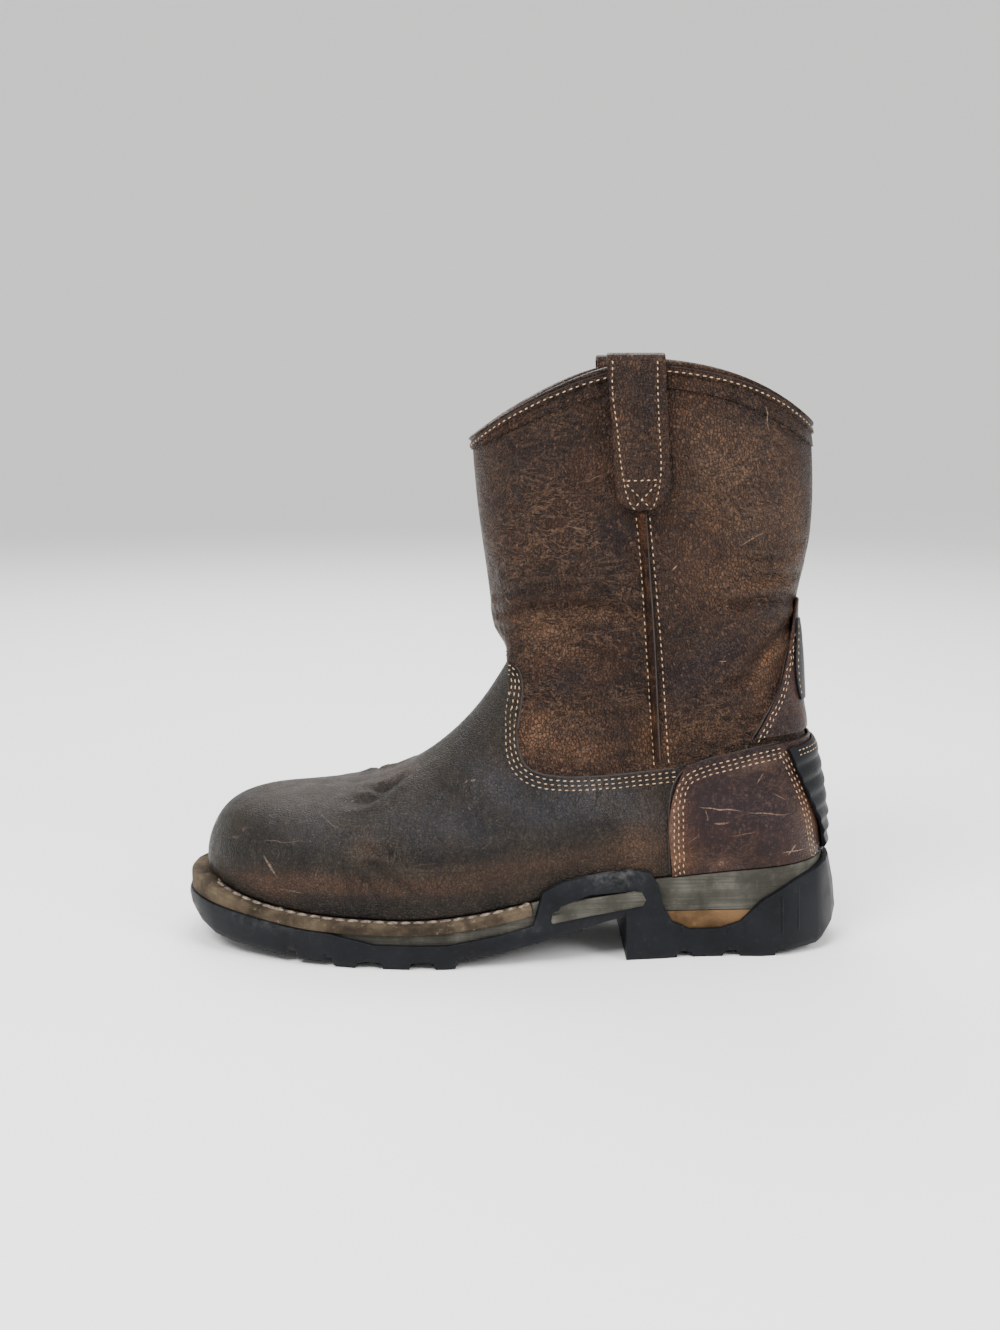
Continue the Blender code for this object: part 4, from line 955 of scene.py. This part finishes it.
dressNode("side_seam_medial", "innerSeamPiping", seamLeather, 0.3, 2)
dressNode("collar_binding", "collarBinding", shaftLeather, 0, 3, shape=shapeCollar)
strapMarks = {
    "plumShadeAndSheen": [(60, 262, 7, 12, 0, 0.9), (56, 235, 8, 5, 0, 0.4)], "rubAndSheen": [(50, 245, 4, 20, 0, 0.20)],
    "darkAndShade": [(56, 248, 12, 30, 0, 0.55)],
}
for side, name, marks in (("lateral", "outerPullStrap", strapMarks), ("medial", "innerPullStrap", None)):
    dressNode(
        "pull_strap_" + side, name, shaftLeather, 0.6, 1, shape=shapeStrap, marks=marks)
dressNode("heel_guard", "heelGuard", blackRubber, 0.25, 1)
dressNode("back_tab", "backTab", blackRubber, 0.4, 2, shape=shapeTab)
print("overlays dressed")

soleMarks = {"rubAndSheen": [(-60, 20, 60, 2.5, 0, 0.6), (100, 30, 22, 2, 0, 0.4), (45, 43, 22, 1.5, 3, 0.5)]}
dressNode(
    "outsole", "outsoleRubber", blackRubber, 0.5, 0, angle=32, marks=soleMarks,
    edges=rubbedRubber)
dressNode("midsole", "midsoleFoam", midsoleFoam, 0.25, 0)
dressNode("heel_layer", "heelInsert", insertFoam, 0.3, 0)
dressNode("welt", "weltStrip", weltLeather, 0.3, 1)
dressNode("insole", "insoleBoard", insoleFelt, 0.4, 1)
print("sole dressed")

# taupe panel that fills the window in the arch guard, laid against the rubber
archPanel = {
    "outline": [(18.5, 22.0), (19.0, 25.0), (22.5, 30.0), (58.0, 34.0), (61.6, 33.2), (63.6, 29.5),
                (62.0, 27.0), (53.0, 25.6), (36.0, 23.4), (19.0, 20.8)],
    "middle": (41.0, 28.0), "reach": (23.0, 5.0), "rim": 1.10, "stand": 0.35, "thick": 1.2, "edge": 0.45,
}


def makeArchPanel(name, side, values):
    # a disc with the panel's outline, laid flat against the sole's side
    tree = treeOf(boot["outsoleRubber"], boot["midsoleFoam"])
    ring = np.array([p for a, b in zip(values["outline"], values["outline"][1:] + values["outline"][:1])
                     for p in np.linspace(a, b, 9)[:-1]])  # eight short steps for each side of the outline
    middle, reach = np.array(values["middle"]), np.array(values["reach"])
    bpy.ops.mesh.primitive_circle_add(
        vertices=len(ring), radius=20 * mm, fill_type="TRIFAN", location=(0, 0, 0))
    piece = bpy.context.object
    piece.name = name
    editAll()
    bpy.ops.mesh.subdivide(number_cuts=3)
    editDone()
    # angles are taken in a frame shrunk along the panel, so its ends keep their corners
    squeezed = (ring - middle) / reach
    turns = np.arctan2(squeezed[:, 1], squeezed[:, 0])
    for v in piece.data.vertices:
        turn = math.atan2(v.co.y, v.co.x)
        share = math.hypot(v.co.x, v.co.y) / (20 * mm)
        share *= np.interp(turn, turns, np.linalg.norm(squeezed, axis=1), period=2 * math.pi)
        x, z = middle + np.array([math.cos(turn), math.sin(turn)]) * share * reach
        v.co = Vector((x, 0, z)) * mm
    # a plane through the window's rim bridges its depth
    points = meshData(piece)[0]
    rim = np.array([sidePoint(tree, x, z, side)[0] for x, z in middle + (ring - middle) * values["rim"]])
    fit = np.linalg.lstsq(np.c_[rim[:, 0], rim[:, 2], np.ones(len(rim))], rim[:, 1], rcond=None)[0]
    points[:, 1] = points[:, 0] * fit[0] + points[:, 2] * fit[1] + fit[2] + side * values["stand"] * mm
    setPoints(piece, points)
    pick(piece)
    faceOutward()
    wall = piece.modifiers.new("wall", "SOLIDIFY")
    wall.thickness = values["thick"] * mm
    wall.offset = 0
    edgeAndRound(piece, values["edge"], 0, 50)
    piece.data.materials.append(midsoleFoam)
    paint(piece, "rubAndSheen", [])
    keep(piece, None)


# upright ribs on the heel's sides: x, top and bottom
heelRibs = [(81, 29, 10), (88, 25, 10), (103, 21, 9), (111, 22, 9), (129, 31, 9), (137, 36, 10)]


def addHeelRibs(ribs):
    tree = treeOf(boot["outsoleRubber"])
    for side in (outerSide, innerSide):
        for k, (x, top, bottom) in enumerate(ribs):
            route = sideRoute(tree, [(x, top), (x + 0.6, bottom)], side)
            name = f"heelRib{'Outer' if side == outerSide else 'Inner'}{k + 1}"
            bead(name, route, 0.75, blackRubber, 0.35)


# gaps between the lugs along both edges of the tread: from x to x, and height
lugGaps = {
    "spans": [(-98, -88, 3.0), (-72.5, -61, 3.2), (-47, -36.5, 3.4), (-23.5, -11.5, 4.6),
              (79.6, 86, 2.6), (101.8, 108.9, 2.6), (127, 132.5, 2.8)],
    "inward": 7.0, "outward": 14, "below": -3, "slope": 1.6, "edgeAt": 4.5,
}


def cutLugGaps(values):
    sole = boot["outsoleRubber"]
    tree = treeOf(sole)
    cutters = []
    for low, high, height in values["spans"]:
        for side in (outerSide, innerSide):
            edge = min(abs(sidePoint(tree, x, values["edgeAt"], side)[0][1])
                       for x in (low, (low + high) / 2, high)) / mm
            bpy.ops.mesh.primitive_cube_add(size=1, location=(0, 0, 0))
            cutter = bpy.context.object
            for v in cutter.data.vertices:
                x, y, z = v.co * 2
                spread = values["slope"] if z < 0 else 0
                v.co.x = ((high + spread) if x > 0 else (low - spread)) * mm
                v.co.y = side * (edge + (values["outward"] if y > 0 else -values["inward"])) * mm
                v.co.z = (height if z > 0 else values["below"]) * mm
            pick(cutter)
            faceOutward()
            cutters.append(cutter)
    cutter = pick(*cutters)
    bpy.ops.object.join()
    cut = sole.modifiers.new("gaps", "BOOLEAN")
    cut.operation = "DIFFERENCE"
    cut.solver = "EXACT"
    cut.use_self = True
    cut.object = cutter
    before = len(sole.data.polygons)
    applyAll(sole)
    bpy.data.objects.remove(cutter)
    print("lug gaps cut", before, "to", len(sole.data.polygons), "faces")


cutLugGaps(lugGaps)
addHeelRibs(heelRibs)
makeArchPanel("archPanelOuter", outerSide, archPanel)
makeArchPanel("archPanelInner", innerSide, archPanel)

# stitches: one is modelled, and every row is made of copies of it

stitchSize = {"long": 2.3, "wide": 0.60, "high": 0.58, "pitch": 3.2, "rubberPitch": 3.0}
strapStitchSize = {"long": 2.0, "wide": 0.62, "high": 0.55, "pitch": 2.75}
weltStitchSize = {"long": 6.3, "wide": 2.1, "high": 2.0, "pitch": 6.2}


def stitchForm(name, size, threadMaterial):
    bpy.ops.mesh.primitive_uv_sphere_add(segments=8, ring_count=7, radius=1, location=(0, 0, 0))
    form = bpy.context.object
    form.name = name
    form.rotation_euler = (0, math.pi / 2, 0)
    settle(form)
    form.scale = (size["long"] / 2 * mm, size["wide"] / 2 * mm, size["high"] / 2 * mm)
    settle(form)
    for v in form.data.vertices:
        t = v.co.x / (size["long"] / 2 * mm)
        v.co.z -= size["high"] * 0.35 * mm * t * t
        v.co.y += size["wide"] * 0.12 * mm * t
    form.data.materials.append(threadMaterial)
    form.data.materials.append(needleHole)
    for end in (-1, 1):
        place = (end * (size["long"] * 0.5 + 0.12) * mm, end * size["wide"] * 0.12 * mm, 0.05 * mm)
        bpy.ops.mesh.primitive_circle_add(vertices=7, radius=0.42 * mm, fill_type="NGON", location=place)
        hole = bpy.context.object
        settle(hole)
        hole.data.materials.append(needleHole)
        pick(form, hole)
        bpy.ops.object.join()
    pick(form)
    bpy.ops.object.shade_smooth()
    return form


def sew(name, form, routes, pitch=stitchSize["pitch"], sink=0.1):
    # copies of a stitch at even steps along each route, as one piece
    work = bmesh.new()
    for route in routes:
        place, way, up = evenSpots(route, pitch)
        for p, w, u in zip(place, way, up):
            turn = Matrix(np.array([w, np.cross(u, w), u]).T.tolist()).to_4x4()
            start = len(work.verts)
            work.from_mesh(form.data)
            work.verts.ensure_lookup_table()
            shift = Matrix.Translation(Vector(p - u * sink * mm)) @ turn
            bmesh.ops.transform(work, matrix=shift, verts=work.verts[start:])
    mesh = bpy.data.meshes.new(name)
    work.to_mesh(mesh)
    work.free()
    for material in form.data.materials:
        mesh.materials.append(material)
    keep(newPiece(name, mesh), None)
    print(name, len(mesh.polygons), "faces")


stitch = stitchForm("stitchForm", stitchSize, thread)
strapStitch = stitchForm("strapStitchForm", strapStitchSize, thread)
lockStitch = stitchForm("lockStitchForm", weltStitchSize, weltThread)
dressedTree = treeOf(*[boot[n] for n in ("upperLeather", "heelCounter", "backstayLeather", "outerSeamPiping",
                                         "innerSeamPiping", "collarBinding")])
strapTree = treeOf(boot["outerPullStrap"], boot["innerPullStrap"])
rubberTree = treeOf(*[boot[n] for n in ("heelGuard", "backTab", "heelCounter", "backstayLeather")])


def sideRows(tree, line, aways):
    # rows beside a line on both sides of the boot, outer side first
    rows = []
    for side in (outerSide, innerSide):
        edge = sideRoute(tree, line, side)
        rows += [besideRoute(tree, edge, away, side) if away else edge for away in aways]
    return rows


# dark bars along a lapped edge on both sides: the dark cut edge with a painted shadow line beside the step
def edgeBeads(name, tree, line, radius, sink, away=0.0):
    for end, row in zip(("Outer", "Inner"), sideRows(tree, line, (away,))):
        bead(name + end, row, radius, cutEdgeAndShadow, sink)


vampSeam = [(0.3, 141.0)] + vampEdge[1:10] + [(66.2, 90.8), (77.5, 92.0)]
vampAways = (-1.9, -4.2, -6.5)


def planeRow(tree, line, away, side, top):
    # a row beside a line, shifted in the side view by less where the surface turns to the front
    points, normals = sideRoute(tree, line, side)
    flat = evened(points[:, [0, 2]] / mm, 4)
    tangent = unit(np.gradient(flat, axis=0))
    over = np.stack([tangent[:, 1], -tangent[:, 0]], axis=1)
    share = evened(np.clip(np.abs(normals[:, 1]), 0.5, 1.0), 8)
    moved = evened(flat + over * (-away * share)[:, None], 4)
    points, normals = rowsOf([sidePoint(tree, x, z, side) for x, z in moved if z < top + away])
    return points, evened(normals, 2)


vampRows = [planeRow(dressedTree, vampSeam, away, side, 141.2)
            for side in (outerSide, innerSide) for away in vampAways]
sew("vampEdgeStitches", stitch, vampRows)
edgeBeads("vampCutEdgeShadow", upperTree, vampSeam, 0.55, 0.2)


def vampFrontRoute():
    # the vamp's upper edge runs on round the front from one side to the other
    left, right = (sidePoint(dressedTree, *vampSeam[0], side)[0] for side in (outerSide, innerSide))
    middle = collarShape["middle"]
    low = math.atan2(right[1], right[0] - middle[0] * mm)
    high = math.atan2(left[1], left[0] - middle[0] * mm) + 2 * math.pi
    return rowsOf([aroundPoint(dressedTree, middle, a, vampSeam[0][1] + 0.4)
                   for a in np.linspace(low, high, 40)])


vampFront = vampFrontRoute()
sew("vampFrontStitches", stitch, [besideRoute(dressedTree, vampFront, away, outerSide) for away in vampAways])
# a dark bar along the vamp's front edge: cut edge and painted shadow
bead("vampFrontCutEdgeShadow", vampFront, 0.55, cutEdgeAndShadow, 0.2)

counterEdge = [(76.4, 37.5), (75.4, 50), (75.0, 64), (75.2, 76), (77.0, 84.5), (81.5, 90.6),
               (88.5, 93.9), (101, 97.2), (112.4, 99.8), (127.5, 102.0)]
sew("counterStitches", stitch, sideRows(dressedTree, counterEdge, (-1.8, -3.9, -6.1)))
edgeBeads("counterCutEdgeShadow", upperTree, counterEdge, 0.6, 0.1, 0.6)

counterRear = [(130.6, 100.0), (137.2, 86.1), (143.8, 68), (147.4, 50), (148.4, 45)]
sew("counterRearStitches", stitch, sideRows(dressedTree, counterRear, (-1.5, -3.4, -5.3)))

backstayEdge = [(137.8, 161), (135.2, 155), (131.5, 144.9), (129.6, 136), (127.5, 126.8), (121.1, 116),
                (113.5, 104.5)]
sew("backstayStitches", stitch, sideRows(dressedTree, backstayEdge, (1.7, 3.7)))
edgeBeads("backstayCutEdgeShadow", upperTree, backstayEdge, 0.55, 0.1, -0.5)

seamRows = [[(56.4, 211), (58, 198), (62, 153), (67, 92.5)], [(62.6, 211), (64, 198), (69, 152), (74, 93.5)]]
grooveLine = [(60.6, 214), (62, 198), (66, 153), (70, 92.5)]
sew("sideSeamStitches", stitch, [row for line in seamRows for row in sideRows(dressedTree, line, (0,))])
# a dark bar in the side seam's groove: painted shade
edgeBeads("seamGrooveShadow", dressedTree, grooveLine, 0.5, 0.25)

strapOutline = [(44.5, 281.0), (44.6, 266.7), (46.6, 252.9), (50.0, 228.2), (52.5, 218.5), (55.0, 214.6),
                (62.7, 214.4), (65.6, 220.7), (66.6, 227.7), (65.6, 252.9), (64.8, 266.7), (64.4, 281.0)]
strapBox = [[(51.0, 227.1), (65.8, 227.6)], [(51.0, 226.0), (61.9, 215.4)], [(65.4, 226.2), (55.6, 215.4)]]
strapRows = [row for line in [strapOutline] + strapBox for row in sideRows(strapTree, line, (0,))]
sew("strapStitches", strapStitch, strapRows, strapStitchSize["pitch"])


def collarRow(below):
    found = [aroundPoint(dressedTree, collarShape["middle"], angle, collarRim(angle) / mm - below)
             for angle in np.linspace(-math.pi, math.pi, 500)]
    return rowsOf([pair for pair in found if pair[0] is not None])


sew("collarStitches", stitch, [collarRow(5.4)])
# a dark bar in the collar's groove: painted shade
bead("collarGrooveShadow", collarRow(3.3), 0.45, cutEdgeAndShadow, 0.15, taper=False)


def weltRoute(out):
    # along the welt's top, this far from the leather; each point is found in three steps
    found = []
    weltTree = treeOf(boot["weltStrip"])
    for angle in np.linspace(math.radians(-28), math.radians(-332), 420):
        z = 30.0
        for k in range(3):
            hit, normal = aroundPoint(upperTree, (-45, 1), angle, z)
            if hit is None:
                break
            way = np.array([normal[0], normal[1], 0])
            way /= np.linalg.norm(way)
            top = hit + way * out * mm
            down, up, face, far = weltTree.ray_cast(Vector((top[0], top[1], 0.08)), Vector((0, 0, -1)))
            if down is None:
                hit = None
                break
            z = down.z / mm + 1.2
        if hit is not None:
            found.append((down, np.array(up) * 0.8 + way * 0.6))
    return rowsOf(found)


sew("weltLockStitches", lockStitch, [weltRoute(1.5)], weltStitchSize["pitch"])
bead("weltSeamShadow", weltRoute(0.2), 0.7, cutEdgeAndShadow, 0.35, taper=False)


guardMiddle = (105, 0)


def backRoute(piece, below, reach, edge=np.max):
    # a row at an even depth under a piece's top or lower edge, from side to side round the back
    points = meshData(piece)[0]
    angles = np.arctan2(points[:, 1] - guardMiddle[1] * mm, points[:, 0] - guardMiddle[0] * mm)
    found = []
    for a in np.linspace(-reach, reach, 46):
        near = points[np.abs(angles - a) < 0.05]
        if len(near):
            found.append(aroundPoint(rubberTree, guardMiddle, a, edge(near[:, 2]) / mm - below))
    return rowsOf(found)


def edgeRoute(piece, side, inside):
    # a row up a rubber piece's edge, a little inside it
    points = meshData(piece)[0]
    low, high = points[:, 2].min() + 2.5 * mm, points[:, 2].max() - 2.5 * mm
    found = []
    for z in np.linspace(low, high, 24):
        near = points[(np.abs(points[:, 2] - z) < 1.6 * mm) & (points[:, 1] * side > 0)]
        y = side * ((near[:, 1] * side).max() - inside * mm)
        hit, normal, face, far = rubberTree.ray_cast(Vector((0.3, y, z)), Vector((-1, 0, 0)))
        found.append((hit, normal))
    points, normals = rowsOf(found)
    return evened(points, 2), normals


guardRows = [backRoute(boot["heelGuard"], below, 0.72) for below in (1.8, 3.8)]
sew("heelGuardStitches", stitch, guardRows, stitchSize["rubberPitch"])
# a rubber roll closes the corner between the guard's foot and the heel cup
places, normals = backRoute(boot["heelGuard"], 0.9, 0.5, np.min)
level = places[:, 2] < places[:, 2].min() + 1.0 * mm
bead("heelGuardFoot", (places[level], normals[level]), 1.7, blackRubber, 0.3, sides=10)
tabRows = [edgeRoute(boot["backTab"], side, 1.7) for side in (outerSide, innerSide)]
sew("backTabStitches", stitch, tabRows, stitchSize["rubberPitch"])
for form in (stitch, strapStitch, lockStitch):
    bpy.data.objects.remove(form)
print("sewn")

# floor and light

studio = {
    "floor": (0.86, 0.86, 0.85), "radius": 2.2, "sweep": 1.6,
    "lights": [
        # place, size, strength, aim
        ((-0.60, -0.85, 1.30), 0.8, 34.0, (0, 0, 0.12)),
        ((0.95, -0.80, 0.85), 0.7, 15.0, (0, 0, 0.12)),
        ((-0.20, 1.00, 1.20), 1.2, 20.0, (0, 0, 0.15)),
        ((0.10, -0.10, 1.50), 0.9, 16.0, (0, 0, 0.10)),
    ],
    "world": 0.9,
}


def addStudio(values):
    # a wide round floor whose rim sweeps up into a pale wall
    bpy.ops.mesh.primitive_circle_add(
        vertices=96, radius=values["radius"], fill_type="NGON", location=(0, 0, 0))
    floor = bpy.context.object
    floor.name = "floor"
    bpy.ops.object.mode_set(mode="EDIT")
    bpy.ops.mesh.select_all(action="SELECT")
    bpy.ops.mesh.delete(type="ONLY_FACE")
    bpy.ops.mesh.select_all(action="SELECT")
    for k in range(8):
        a = math.radians(90 * (k + 1) / 8)
        b = math.radians(90 * k / 8)
        out = values["sweep"] * (math.sin(a) - math.sin(b))
        up = values["sweep"] * (math.cos(b) - math.cos(a))
        radius = values["radius"] + values["sweep"] * math.sin(b)
        grow = (radius + out) / radius
        bpy.ops.mesh.extrude_edges_move()
        bpy.ops.transform.resize(value=(grow, grow, 1), center_override=(0, 0, 0))
        bpy.ops.transform.translate(value=(0, 0, up))
    bpy.ops.mesh.select_all(action="DESELECT")
    bpy.ops.object.mode_set(mode="OBJECT")
    for v in floor.data.vertices:
        v.select = v.co.z < 1e-6
    bpy.ops.object.mode_set(mode="EDIT")
    bpy.ops.mesh.select_mode(type="VERT")
    bpy.ops.mesh.edge_face_add()
    bpy.ops.object.mode_set(mode="OBJECT")
    pick(floor)
    bpy.ops.object.shade_smooth()
    made, tree, shader, coords = newMaterial("paleFloor", 0.9)
    shader.inputs["Base Color"].default_value = (*values["floor"], 1)
    shader.inputs["Specular IOR Level"].default_value = 0.05
    floor.data.materials.append(made)
    for place, size, strength, aim in values["lights"]:
        bpy.ops.object.light_add(type="AREA", location=place)
        light = bpy.context.object
        light.data.shape = "DISK"
        light.data.size = size
        light.data.energy = strength
        light.rotation_euler = (Vector(aim) - Vector(place)).to_track_quat("-Z", "Y").to_euler()
    world = bpy.data.worlds.new("paleRoom")
    world.use_nodes = True
    world.node_tree.nodes["Background"].inputs[0].default_value = (1, 1, 1, 1)
    world.node_tree.nodes["Background"].inputs[1].default_value = values["world"]
    bpy.context.scene.world = world


addStudio(studio)

print("done")
